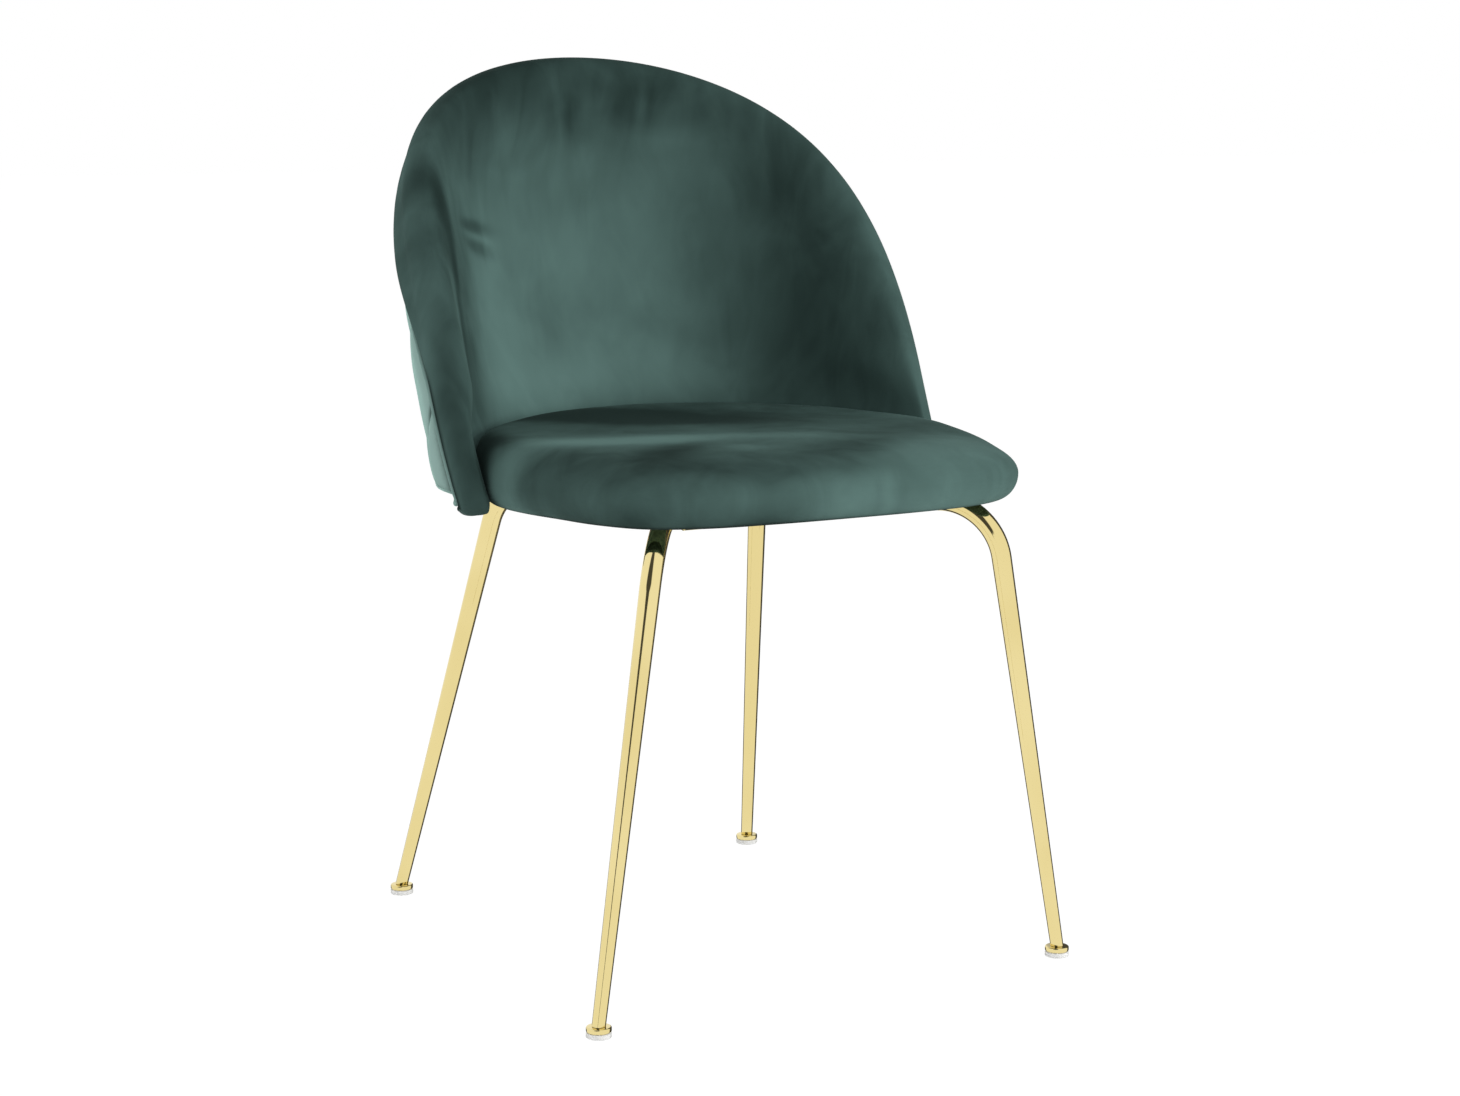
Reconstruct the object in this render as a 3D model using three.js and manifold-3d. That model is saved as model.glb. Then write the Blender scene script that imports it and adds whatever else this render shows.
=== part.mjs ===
// Dining chair: a padded back that wraps round the sitter, with a diamond-quilted outer
// panel, a pebble-shaped seat cushion and a frame of four bent, tapered tube legs.
// Lengths are millimetres, +Z is up, +X is to the right in a view from the front,
// and the sitter faces -Y.
import * as THREE from 'three';
import { mergeVertices } from 'three/addons/utils/BufferGeometryUtils.js';
import Module from 'manifold-3d';

const wasm = await Module();
wasm.setup();

// Fits between neighbouring pieces
const seatGap = 0.3;
const boltPlay = 0.35;
const pocketPlay = 0.5;
const looseGap = 2.2;
const pipingGap = 0.8;

// Heights: the leg arms carry the seat, and the back follows the seat
const armHeight = 400.4;
const seatEdgeAboveArm = 21.6;
const backCentreAboveEdge = 78;
const backFullestAboveCentre = 160;
const seatEdgeHeight = armHeight + seatEdgeAboveArm;
const backCentreHeight = seatEdgeHeight + backCentreAboveEdge;
const backFullestHeight = backCentreHeight + backFullestAboveCentre;

// Back: its middle surface is an upright part-cylinder whose rear line is swept backwards
const backRadius = 228;
const backFullestDepth = 249;
const backSweepRadius = 370;
const backHalfArc = 318;
const backTopRise = 255;
const backWingDrop = 92;
const backRearDrop = 56;
const backCornerPower = 8;

// Back: the layers across its thickness
const backHalfThickness = 20;
const coverThickness = 1.6;
const plyHalfThickness = 5;
const plyInset = 5;
const seamInsetLow = 5;
const seamInsetTop = 55;
const pipingRadius = 2.4;
const pipingProud = 0.4;

// Quilting of the outer panel
const diamondWidth = 90;
const diamondHeight = 120;
const diamondSteps = 3;
const puffHeight = 6;
const puffFade = 34;
const puffShares = [0, 0.62, 0.92, 1];

// Seat cushion: plan outline. The front part is given as shares of the half width and of the
// depth, and the rear part as shares of a quarter turn and of the back's inner radius.
const seatSideInset = 14;
const seatDepth = 406.5;
const seatFrontShares = [
  [0, 0],
  [0.346, 0.004],
  [0.645, 0.026],
  [0.853, 0.087],
  [0.959, 0.206],
  [1, 0.353],
  [0.992, 0.464],
];
const seatRearShares = [
  [0.8907, 1],
  [0.7827, 0.9892],
  [0.626, 0.9852],
  [0.4439, 0.9774],
  [0.2455, 0.9901],
  [0, 1.0034],
];
const backInnerRadius = backRadius - backHalfThickness;
const backAxisAtSeat = rearLine(seatEdgeHeight) - backRadius;
const seatHalfWidth = backRadius - seatSideInset;
const seatBack = backAxisAtSeat + backInnerRadius * seatRearShares.at(-1)[1];
const seatFront = seatBack - seatDepth;
const seatCentreY = (seatFront + seatBack) / 2;

// Seat cushion: heights and edge roll
const seatPitch = THREE.MathUtils.degToRad(1.2);
const seatCrown = 37;
const seatFullnessPower = 5;
const seatRearLean = 0.5;
const leanStartFromBack = 203;
const leanEndFromBack = 83;
const seatRollDepth = 23;
const seatRearRollDepth = 5;
const rollStartFromBack = 153;
const rollEndFromBack = 73;
const seatTopShares = [0, 0.35, 0.62, 0.8, 0.9, 0.96, 0.99];
const rollAngleShares = [0, 0.34, 0.67, 1];
const rollLowShare = 0.915;
const rollTuckShare = 0.875;
const hemOuterShare = 0.845;
const hemInnerShare = 0.78;

// Seat board and dust cover
const boardThickness = 12;
const boardShare = 0.845;
const dustThickness = 1.1;
const dustShare = 0.77;

// Frame: bent tubes that taper to the floor
const tubeTopRadius = 8.6;
const tubeFootRadius = 5.7;
const bendRadius = 52.8;
const tubeSides = 10;
const frontKneeFromSide = 51.5;
const frontKneeFromFront = 43;
const rearKneeFromSide = 80.3;
const rearKneeFromBack = 20.8;
const frontSplaySide = 62.5;
const frontSplayAhead = 15.4;
const rearSplaySide = 53.8;
const rearSplayBehind = 113.7;
const hubAheadOfRearKnee = 117.2;
const armEndGap = 34;
const frontKneeX = seatHalfWidth - frontKneeFromSide;
const frontKneeY = seatFront + frontKneeFromFront;
const rearKneeX = seatHalfWidth - rearKneeFromSide;
const rearKneeY = seatBack - rearKneeFromBack;
const frontKnee = new THREE.Vector2(frontKneeX, frontKneeY);
const rearKnee = new THREE.Vector2(rearKneeX, rearKneeY);
const frontFoot = new THREE.Vector2(frontKneeX + frontSplaySide, frontKneeY - frontSplayAhead);
const rearFoot = new THREE.Vector2(rearKneeX + rearSplaySide, rearKneeY + rearSplayBehind);
const hubY = rearKneeY - hubAheadOfRearKnee;

// Frame: cross tube, hub plate and mounting tabs
const crossTubeRadius = 7.5;
const crossTubeBehindKnee = 42.5;
const crossTubeY = frontKneeY + crossTubeBehindKnee;
const plateThickness = 3;
const hubPlateWidth = 104;
const hubPlateDepth = 96;
const plateCorner = 8;
const hubBoltSpacing = 76;
const tabLength = 42;
const tabWidth = 26;
const tabBoltOffset = 19;
const tabOverTube = 10;
const tabFromHubFront = 159.9;
const tabFromHubRear = 87.8;

// Feet
const discRadius = 10.4;
const discThickness = 4.4;
const discBevel = 0.7;
const glideHeight = 4.2;
const glideBevel = 0.8;

// Fasteners
const boltShankRadius = 3;
const boltHeadRadius = 5.5;
const boltHeadHeight = 3.2;
const boltPenetration = 9.5;
const insertWall = 1.5;
const fastenerSides = 8;
const discSides = 16;
const pipingSides = 6;

// Straps: bent steel straps between the seat board and the plywood shell
const strapWidth = 30;
const strapTurn = THREE.MathUtils.degToRad(42);
const strapRise = 58;
const strapPlay = 1.6;
const strapBoltFromEdge = 16.5;
const strapBoltInset = 14;
const boltTipGap = 1.1;
const boltHeadGap = 0.9;

// Sampling
const backSides = 44;
const seatSides = 40;
const outlineFine = 360;
const cutOverrun = 20;

// Heights that follow from the stack of board, cover and plates
const plateBottom = armHeight + tubeTopRadius + seatGap;
const plateTop = plateBottom + plateThickness;
const boardBottom = plateTop + seatGap + coverThickness + seatGap;
const boardTop = boardBottom + boardThickness;
const hemTop = boardBottom - seatGap;

// Finishes
const velvet = { color: 0x2f5550, roughness: 0.85, metalness: 0 };
const velvetTrim = { color: 0x28494a, roughness: 0.85, metalness: 0 };
const foam = { color: 0xd9cfa8, roughness: 0.95, metalness: 0 };
const plywood = { color: 0xc79a63, roughness: 0.7, metalness: 0 };
const blackCloth = { color: 0x232323, roughness: 0.95, metalness: 0 };
const gold = { color: 0xe6cf8a, roughness: 0.12, metalness: 1 };
const blackSteel = { color: 0x2a2a2c, roughness: 0.5, metalness: 1 };
const zincSteel = { color: 0xb4b6b8, roughness: 0.35, metalness: 1 };
const clearPlastic = { color: 0xe9e9e6, roughness: 0.4, metalness: 0 };

const chair = new THREE.Group();

function addPiece(name, geometry, finish) {
  const mesh = new THREE.Mesh(geometry, new THREE.MeshStandardMaterial(finish));
  mesh.name = name;
  chair.add(mesh);
  return mesh;
}

// Turns a closed mesh so that its faces point out
function faceOut(geometry) {
  const place = geometry.getAttribute('position');
  const index = geometry.getIndex();
  const corners = [new THREE.Vector3(), new THREE.Vector3(), new THREE.Vector3()];
  let volume = 0;
  for (let i = 0; i < index.count; i += 3) {
    corners.forEach((corner, k) => corner.fromBufferAttribute(place, index.getX(i + k)));
    volume += corners[0].dot(corners[1].clone().cross(corners[2]));
  }
  if (volume < 0) {
    for (let i = 0; i < index.count; i += 3) {
      const kept = index.getX(i + 1);
      index.setX(i + 1, index.getX(i + 2));
      index.setX(i + 2, kept);
    }
  }
  geometry.computeVertexNormals();
  return geometry;
}

function meshFrom(points, faces) {
  const geometry = new THREE.BufferGeometry();
  const flat = points.flatMap((point) => [point.x, point.y, point.z]);
  geometry.setAttribute('position', new THREE.Float32BufferAttribute(flat, 3));
  geometry.setIndex(faces);
  return faceOut(geometry);
}

// A closed skin over a list of rings, where a ring of one point closes an end. From the ring
// where the skin turns back, its diagonals are mirrored, so that two layers stay parallel.
function skin(rings, turnRing = rings.length) {
  const points = rings.flat();
  const faces = [];
  let start = 0;
  for (let r = 0; r + 1 < rings.length; r += 1) {
    const here = rings[r].length;
    const there = rings[r + 1].length;
    const next = start + here;
    const count = Math.max(here, there);
    for (let i = 0; i < count; i += 1) {
      const j = (i + 1) % count;
      if (there === 1) {
        faces.push(start + i, start + j, next);
      } else if (here === 1) {
        faces.push(start, next + j, next + i);
      } else if (r < turnRing) {
        faces.push(start + i, start + j, next + j);
        faces.push(start + i, next + j, next + i);
      } else {
        faces.push(start + i, start + j, next + i);
        faces.push(start + j, next + j, next + i);
      }
    }
    start = next;
  }
  return meshFrom(points, faces);
}

function toSolid(geometry) {
  const bare = new THREE.BufferGeometry();
  bare.setAttribute('position', geometry.getAttribute('position').clone());
  if (geometry.getIndex()) {
    bare.setIndex(geometry.getIndex().clone());
  }
  const merged = mergeVertices(bare);
  return new wasm.Manifold(new wasm.Mesh({
    numProp: 3,
    vertProperties: new Float32Array(merged.getAttribute('position').array),
    triVerts: new Uint32Array(merged.getIndex().array),
  }));
}

function fromSolid(solid) {
  const mesh = solid.getMesh();
  const geometry = new THREE.BufferGeometry();
  geometry.setAttribute('position', new THREE.BufferAttribute(mesh.vertProperties, 3));
  geometry.setIndex(new THREE.BufferAttribute(mesh.triVerts, 1));
  return faceOut(geometry);
}

function cutBy(geometry, cutters) {
  let solid = toSolid(geometry);
  for (const cutter of cutters) {
    solid = solid.subtract(toSolid(cutter));
  }
  return fromSolid(solid);
}

// Back: shape of its middle surface

function rearLine(height) {
  const drop = height - backFullestHeight;
  return backFullestDepth - backSweepRadius + Math.sqrt(backSweepRadius ** 2 - drop ** 2);
}

function rearSlope(height) {
  const drop = backFullestHeight - height;
  return drop / Math.sqrt(backSweepRadius ** 2 - drop ** 2);
}

function backNormal(along, height) {
  const turn = along / backRadius;
  const lean = -rearSlope(height) * Math.cos(turn);
  return new THREE.Vector3(Math.sin(turn), Math.cos(turn), lean).normalize();
}

// A point of the back at an arc length from its centre line, a height and a distance outwards
function onBack(along, height, out) {
  const turn = along / backRadius;
  const y = rearLine(height) - backRadius + backRadius * Math.cos(turn);
  const point = new THREE.Vector3(backRadius * Math.sin(turn), y, height);
  return point.addScaledVector(backNormal(along, height), out);
}

// The outline unrolled flat: an ellipse, cut by a bottom edge that rises towards the rear
function outlineReach(angle) {
  const across = Math.cos(angle);
  const down = Math.max(-Math.sin(angle), 0);
  const ellipse = 1 / Math.hypot(across / backHalfArc, Math.sin(angle) / backTopRise);
  const rise = (backWingDrop - backRearDrop) * (across / backHalfArc) ** 2;
  const inside = down ** 2 - 4 * rise * backRearDrop;
  if (down === 0 || inside <= 0) {
    return ellipse;
  }
  const bottom = (2 * backRearDrop) / (down + Math.sqrt(inside));
  const power = backCornerPower;
  return (ellipse ** -power + bottom ** -power) ** (-1 / power);
}

// Width of the border between the edge and the seam: it widens up the sides
function seamBorder({ angle }) {
  const climb = Math.atan2(Math.sin(angle), Math.abs(Math.cos(angle)));
  const share = Math.sin(THREE.MathUtils.clamp(2 * climb, 0, Math.PI / 2));
  return THREE.MathUtils.lerp(seamInsetLow, seamInsetTop, share);
}

// Evenly spaced places on the unrolled outline, each with its outward direction
function outlinePlaces() {
  const fine = [];
  for (let i = 0; i < outlineFine; i += 1) {
    const angle = -Math.PI / 2 + (2 * Math.PI * i) / outlineFine;
    const point = new THREE.Vector2(Math.cos(angle), Math.sin(angle));
    fine.push({ angle, point: point.multiplyScalar(outlineReach(angle)) });
  }
  const at = (i) => fine[(i + outlineFine) % outlineFine];
  const lengths = [0];
  for (let i = 0; i < outlineFine; i += 1) {
    lengths.push(lengths[i] + at(i).point.distanceTo(at(i + 1).point));
  }
  const places = [];
  let k = 0;
  for (let i = 0; i < backSides; i += 1) {
    while (lengths[k + 1] <= (lengths[outlineFine] * i) / backSides) {
      k += 1;
    }
    const along = at(k + 1).point.clone().sub(at(k - 1).point).normalize();
    const outward = new THREE.Vector2(along.y, -along.x);
    places.push({ ...at(k), outward });
  }
  return places;
}

const backOutline = outlinePlaces();

// The outline drawn in by an inset, which is a length or follows from the place
function insetOutline(inset) {
  return backOutline.map((place) => {
    const depth = typeof inset === 'function' ? inset(place) : inset;
    return place.point.clone().addScaledVector(place.outward, -depth);
  });
}

function backRing(points, share, out) {
  return points.map((p) => onBack(p.x * share, backCentreHeight + p.y * share, out));
}

function backCentre(out) {
  return [onBack(0, backCentreHeight, out)];
}

// The rounded edge of the back, at an angle from the inner face (-90) to the outer face (+90)
function edgeRing(points, radius, degrees) {
  const angle = THREE.MathUtils.degToRad(degrees);
  const spine = backRing(points, 1, 0);
  return spine.map((place, i) => {
    const before = spine[(i + spine.length - 1) % spine.length];
    const after = spine[(i + 1) % spine.length];
    const normal = backNormal(points[i].x, backCentreHeight + points[i].y);
    const outward = normal.clone().cross(after.clone().sub(before)).normalize();
    return place.clone()
      .addScaledVector(outward, radius * Math.cos(angle))
      .addScaledVector(normal, radius * Math.sin(angle));
  });
}

const faceShares = [0.16, 0.32, 0.48, 0.64, 0.79, 0.91, 1];
const edgeDegrees = [-45, 0, 45];

// The surface of the front padding at one depth, from its centre, over the edge, to the seam
function frontSurface(halfThickness) {
  const outline = insetOutline(0);
  const seam = insetOutline((place) => seamBorder(place) - pipingRadius - pipingGap);
  return [
    backCentre(-halfThickness),
    ...faceShares.map((share) => backRing(outline, share, -halfThickness)),
    ...edgeDegrees.map((degrees) => edgeRing(outline, halfThickness, degrees)),
    backRing(outline, 1, halfThickness),
    backRing(seam, 1, halfThickness),
  ];
}

// Straps: each is drawn upright, turned about the back's axis, then leant back with the shell

const strapLow = backCentreHeight - backRearDrop;
const strapHigh = strapLow + strapRise;
const strapSlope = (rearLine(strapHigh) - rearLine(strapLow)) / strapRise;
const footLevel = plateBottom + plateThickness / 2;
const strapAxisY = rearLine(strapLow) - backRadius - strapSlope * (strapLow - footLevel);
const strapStretch = Math.hypot(1, rearSlope(strapLow));
const strapDepth = (plyHalfThickness + strapPlay) * strapStretch + plateThickness / 2;
const strapRadius = backRadius - strapDepth;
const boardRear = seatCentreY + (seatBack - seatCentreY) * boardShare;
const footBoltRadius = boardRear - strapBoltFromEdge - strapAxisY;
const footEndRadius = footBoltRadius - strapBoltInset;
const strapTurns = { left: -strapTurn, centre: 0, right: strapTurn };
const strapSides = Object.keys(strapTurns);

// The strap seen from the side, as (distance from the axis, height), grown at its faces
function strapShape(front, rear, end) {
  return new THREE.Shape([
    new THREE.Vector2(footEndRadius - end, footLevel - front),
    new THREE.Vector2(strapRadius + rear, footLevel - front),
    new THREE.Vector2(strapRadius + rear, strapHigh + end),
    new THREE.Vector2(strapRadius - front, strapHigh + end),
    new THREE.Vector2(strapRadius - front, footLevel + front),
    new THREE.Vector2(footEndRadius - end, footLevel + front),
  ]);
}

function strapSolid(shape, width, side) {
  const geometry = new THREE.ExtrudeGeometry(shape, { depth: width, bevelEnabled: false });
  const upright = new THREE.Matrix4().makeBasis(
    new THREE.Vector3(0, 1, 0),
    new THREE.Vector3(0, 0, 1),
    new THREE.Vector3(1, 0, 0),
  );
  geometry.applyMatrix4(upright);
  geometry.translate(-width / 2, 0, 0);
  geometry.rotateZ(-strapTurns[side]);
  geometry.translate(0, 0, -footLevel);
  geometry.applyMatrix4(new THREE.Matrix4().makeShear(0, 0, 0, 0, 0, strapSlope));
  geometry.translate(0, strapAxisY, footLevel);
  return geometry;
}

// A strap's upper bolt stands square to the shell
function strapBolt(side) {
  const along = strapTurns[side] * backRadius;
  const height = (strapLow + strapHigh) / 2;
  const outward = backNormal(along, height);
  const lean = Math.hypot(1, rearSlope(height) * Math.cos(strapTurns[side]));
  const hollow = rearLine(height) - (rearLine(strapLow) + rearLine(strapHigh)) / 2;
  const distance = (strapDepth + hollow * Math.cos(strapTurns[side])) / lean;
  const bearing = distance + plateThickness / 2 + boltHeadGap;
  const head = onBack(along, height, -bearing);
  const length = bearing + plyHalfThickness - boltTipGap;
  const insertStart = onBack(along, height, -plyHalfThickness + seatGap);
  return { head, outward, length, insertStart };
}

// A lathe shape drawn along +Z, moved to a place and turned to a direction
function turnedPiece(profile, place, direction, sides = fastenerSides) {
  const points = profile.map(([radius, height]) => new THREE.Vector2(radius, height));
  const geometry = new THREE.LatheGeometry(points, sides);
  geometry.deleteAttribute('normal');
  geometry.deleteAttribute('uv');
  const closed = faceOut(mergeVertices(geometry));
  const turn = new THREE.Quaternion()
    .setFromUnitVectors(new THREE.Vector3(0, 1, 0), direction.clone().normalize());
  closed.applyQuaternion(turn);
  closed.translate(place.x, place.y, place.z);
  return closed;
}

// A bolt whose head bears at a place and whose shank points along a direction
function boltGeometry(place, direction, length, grow = 0) {
  const shank = boltShankRadius + grow;
  const head = boltHeadRadius + grow;
  const profile = [
    [0, -boltHeadHeight - grow],
    [head, -boltHeadHeight - grow],
    [head, 0],
    [shank, 0],
    [shank, length + grow],
    [0, length + grow],
  ];
  return turnedPiece(profile, place, direction);
}

function insertGeometry(place, direction, length) {
  const inner = boltShankRadius + boltPlay;
  const outer = inner + insertWall;
  const profile = [
    [inner, 0],
    [outer, 0],
    [outer, length],
    [inner, length],
    [inner, 0],
  ];
  return turnedPiece(profile, place, direction);
}

function pinCutter(place, direction, radius, low, high) {
  return turnedPiece([[0, low], [radius, low], [radius, high], [0, high]], place, direction);
}

const insertHole = boltShankRadius + boltPlay + insertWall + seatGap;

// Pockets that the straps and their bolts need in the padding
const strapPockets = strapSides.flatMap((side) => {
  const front = plateThickness / 2 + pocketPlay;
  const rear = front + strapDepth;
  const { head, outward, length } = strapBolt(side);
  return [
    strapSolid(strapShape(front, rear, pocketPlay), strapWidth + 2 * pocketPlay, side),
    boltGeometry(head, outward, length, pocketPlay),
  ];
});

function addBackPadding() {
  const cover = frontSurface(backHalfThickness);
  const coverInside = frontSurface(backHalfThickness - coverThickness);
  const coverSkin = skin([...cover, ...coverInside.reverse()], cover.length);
  addPiece('back_front_cover', cutBy(coverSkin, strapPockets), velvet);

  const foamOut = frontSurface(backHalfThickness - coverThickness - seatGap);
  const plyFace = plyHalfThickness + seatGap;
  const plyRear = plyHalfThickness + looseGap;
  const edge = insetOutline(plyInset - seatGap);
  const seam = insetOutline((place) => seamBorder(place) - pipingRadius - pipingGap);
  const between = seam.map((point, i) => point.clone().lerp(edge[i], 1 / 2));
  const foamIn = [
    backRing(seam, 1, plyRear),
    backRing(between, 1, plyRear),
    backRing(edge, 1, plyRear),
    backRing(edge, 1, -plyFace),
    ...faceShares.slice(0, -1).reverse().map((share) => backRing(edge, share, -plyFace)),
    backCentre(-plyFace),
  ];
  const foamSkin = skin([...foamOut, ...foamIn], foamOut.length);
  addPiece('back_front_foam', cutBy(foamSkin, strapPockets), foam);
}

function addPlywoodShell() {
  const edge = insetOutline(plyInset);
  const layer = (out) => [
    backCentre(out),
    ...faceShares.map((share) => backRing(edge, share, out)),
  ];
  const front = layer(-plyHalfThickness);
  const shell = skin([...front, ...layer(plyHalfThickness).reverse()], front.length);
  const holes = strapSides.map((side) => {
    const { insertStart, outward } = strapBolt(side);
    return pinCutter(insertStart, outward, insertHole, -cutOverrun, cutOverrun);
  });
  addPiece('back_plywood_shell', cutBy(shell, holes), plywood);
}

// Height of the quilting at a step of its grid: nothing on the stitch lines, full between them
function puffAt(i, j, along, rise) {
  const period = 2 * diamondSteps;
  const fromLine = (n) => Math.abs((((n % period) + period) % period) - diamondSteps);
  const nearest = Math.min(fromLine(i + j), fromLine(i - j));
  const angle = Math.atan2(rise, along);
  const margin = outlineReach(angle) - seamBorder({ angle }) - Math.hypot(along, rise);
  const fade = THREE.MathUtils.smoothstep(margin, 0, puffFade);
  return puffHeight * puffShares[nearest] * fade;
}

function onStitchLine(n) {
  const period = 2 * diamondSteps;
  return ((n % period) + period) % period === diamondSteps;
}

// The quilted face as a solid that reaches in to the back's upright axis
function quiltBlock() {
  const stepAlong = diamondWidth / 2 / diamondSteps;
  const stepUp = diamondHeight / 2 / diamondSteps;
  const columns = Math.ceil((backHalfArc + stepAlong) / stepAlong);
  const low = -Math.ceil((backWingDrop + stepUp) / stepUp);
  const high = Math.ceil((backTopRise - seamInsetTop + stepUp) / stepUp);
  const face = backHalfThickness - pipingRadius;
  const points = [];
  const faces = [];
  const wide = 2 * columns + 1;
  const tall = high - low + 1;
  for (let j = low; j <= high; j += 1) {
    for (let i = -columns; i <= columns; i += 1) {
      const along = i * stepAlong;
      const rise = j * stepUp;
      points.push(onBack(along, backCentreHeight + rise, face + puffAt(i, j, along, rise)));
    }
  }
  const at = (i, j) => (j - low) * wide + i + columns;
  for (let j = low; j < high; j += 1) {
    for (let i = -columns; i < columns; i += 1) {
      if (onStitchLine(i - j)) {
        faces.push(at(i, j), at(i + 1, j), at(i + 1, j + 1));
        faces.push(at(i, j), at(i + 1, j + 1), at(i, j + 1));
      } else {
        faces.push(at(i, j), at(i + 1, j), at(i, j + 1));
        faces.push(at(i + 1, j), at(i + 1, j + 1), at(i, j + 1));
      }
    }
  }
  const rim = [];
  for (let i = 1 - wide; i < 0; i += 1) {
    rim.push(i + wide - 1);
  }
  for (let j = 0; j + 1 < tall; j += 1) {
    rim.push(j * wide + wide - 1);
  }
  for (let i = wide - 1; i > 0; i -= 1) {
    rim.push((tall - 1) * wide + i);
  }
  for (let j = tall - 1; j > 0; j -= 1) {
    rim.push(j * wide);
  }
  const hub = points.length;
  points.push(onBack(0, backCentreHeight, -backRadius));
  rim.forEach((corner, k) => faces.push(corner, hub, rim[(k + 1) % rim.length]));
  return meshFrom(points, faces);
}

// A curved disc between two depths of the back, inside the seam
function seamDisc(inner, outer) {
  const seam = insetOutline((place) => seamBorder(place) + pipingRadius + pipingGap);
  const layer = (out) => [
    backCentre(out),
    ...faceShares.map((share) => backRing(seam, share, out)),
  ];
  const front = layer(inner);
  return skin([...front, ...layer(outer).reverse()], front.length);
}

function addQuiltedPanel() {
  const inner = plyHalfThickness + looseGap;
  const outer = backHalfThickness + cutOverrun;
  const panel = toSolid(quiltBlock()).intersect(toSolid(seamDisc(inner, outer)));
  addPiece('back_quilted_panel', fromSolid(panel), velvet);
}

// The piping is a closed loop of rings, one at each place of the seam
function addPiping() {
  const seam = insetOutline(seamBorder);
  const loop = backRing(seam, 1, backHalfThickness - pipingRadius + pipingProud);
  const rings = loop.map((place, i) => {
    const before = loop[(i + loop.length - 1) % loop.length];
    const after = loop[(i + 1) % loop.length];
    const normal = backNormal(seam[i].x, backCentreHeight + seam[i].y);
    const across = after.clone().sub(before).cross(normal).normalize();
    return Array.from({ length: pipingSides }, (unused, k) => {
      const angle = (2 * Math.PI * k) / pipingSides;
      return place.clone()
        .addScaledVector(across, pipingRadius * Math.cos(angle))
        .addScaledVector(normal, pipingRadius * Math.sin(angle));
    });
  });
  const faces = [];
  rings.forEach((ring, r) => {
    const here = r * pipingSides;
    const next = ((r + 1) % rings.length) * pipingSides;
    ring.forEach((unused, k) => {
      const j = (k + 1) % pipingSides;
      faces.push(here + k, here + j, next + j);
      faces.push(here + k, next + j, next + k);
    });
  });
  addPiece('back_piping', meshFrom(rings.flat(), faces), velvetTrim);
}

function mergeBare(geometry) {
  geometry.deleteAttribute('normal');
  geometry.deleteAttribute('uv');
  return mergeVertices(geometry);
}

// Seat: plan outline

function seatOutline() {
  const front = seatFrontShares.map(([across, back]) => (
    new THREE.Vector3(across * seatHalfWidth, seatFront + back * seatDepth, 0)));
  const rear = seatRearShares.map(([turnShare, reachShare]) => {
    const turn = (turnShare * Math.PI) / 2;
    const reach = reachShare * backInnerRadius;
    return new THREE.Vector3(reach * Math.sin(turn), backAxisAtSeat + reach * Math.cos(turn), 0);
  });
  const right = [...front, ...rear];
  const left = right.slice(1, -1).reverse().map(({ x, y }) => new THREE.Vector3(-x, y, 0));
  const curve = new THREE.CatmullRomCurve3([...right, ...left], true);
  return curve.getSpacedPoints(seatSides).slice(0, seatSides);
}

const seatPlan = seatOutline();

function seatRing(share, z) {
  return seatPlan.map((point) => new THREE.Vector3(
    point.x * share,
    seatCentreY + (point.y - seatCentreY) * share,
    z,
  ));
}

function pitchAt(y) {
  return (seatCentreY - y) * Math.tan(seatPitch);
}

// Grows from 0 to 1 between two distances from the cushion's rear edge
function fadeToRear(y, start, end) {
  return THREE.MathUtils.smoothstep(y, seatBack - start, seatBack - end);
}

// Side profile of the cushion at one point of its outline, as [share of the outline, height]
function sideProfile(edge) {
  const middle = seatEdgeHeight + pitchAt(edge.y);
  const fade = fadeToRear(edge.y, rollStartFromBack, rollEndFromBack);
  const depth = THREE.MathUtils.lerp(seatRollDepth, seatRearRollDepth, fade);
  const top = seatTopShares.map((share) => {
    const y = seatCentreY + (edge.y - seatCentreY) * share;
    const height = seatEdgeHeight + pitchAt(y) + seatCrown * Math.sqrt(1 - share ** seatFullnessPower);
    return new THREE.Vector2(share, height);
  });
  const roll = rollAngleShares.map((turn) => {
    const angle = (turn * Math.PI) / 2;
    const share = 1 - (1 - rollLowShare) * (1 - Math.cos(angle));
    return new THREE.Vector2(share, middle - depth * Math.sin(angle));
  });
  const lowest = middle - depth;
  const hemBottom = hemTop - coverThickness;
  const tuck = new THREE.Vector2(rollTuckShare, (Math.min(lowest, hemBottom) + hemBottom) / 2);
  return [
    ...top,
    ...roll,
    tuck,
    new THREE.Vector2(hemOuterShare, hemBottom),
    new THREE.Vector2(hemInnerShare, hemBottom),
  ];
}

// The rear of the cushion leans back with the shell above its middle plane
function rearLean(y, height) {
  const fade = fadeToRear(y, leanStartFromBack, leanEndFromBack);
  return seatRearLean * fade * Math.max(height - seatEdgeHeight - pitchAt(y), 0);
}

// The profile moved inwards by a thickness, square to itself
function insetProfile(profile, reach, thickness) {
  const flat = profile.map((p) => new THREE.Vector2(p.x * reach, p.y));
  return flat.map((point, i) => {
    const before = flat[Math.max(i - 1, 0)];
    const after = flat[Math.min(i + 1, flat.length - 1)];
    const along = after.clone().sub(before).normalize();
    const moved = new THREE.Vector2(along.y, -along.x).multiplyScalar(thickness);
    if (i === 0 || i === flat.length - 1) {
      moved.x = 0;
    }
    return point.clone().add(moved).divide(new THREE.Vector2(reach, 1));
  });
}

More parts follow.
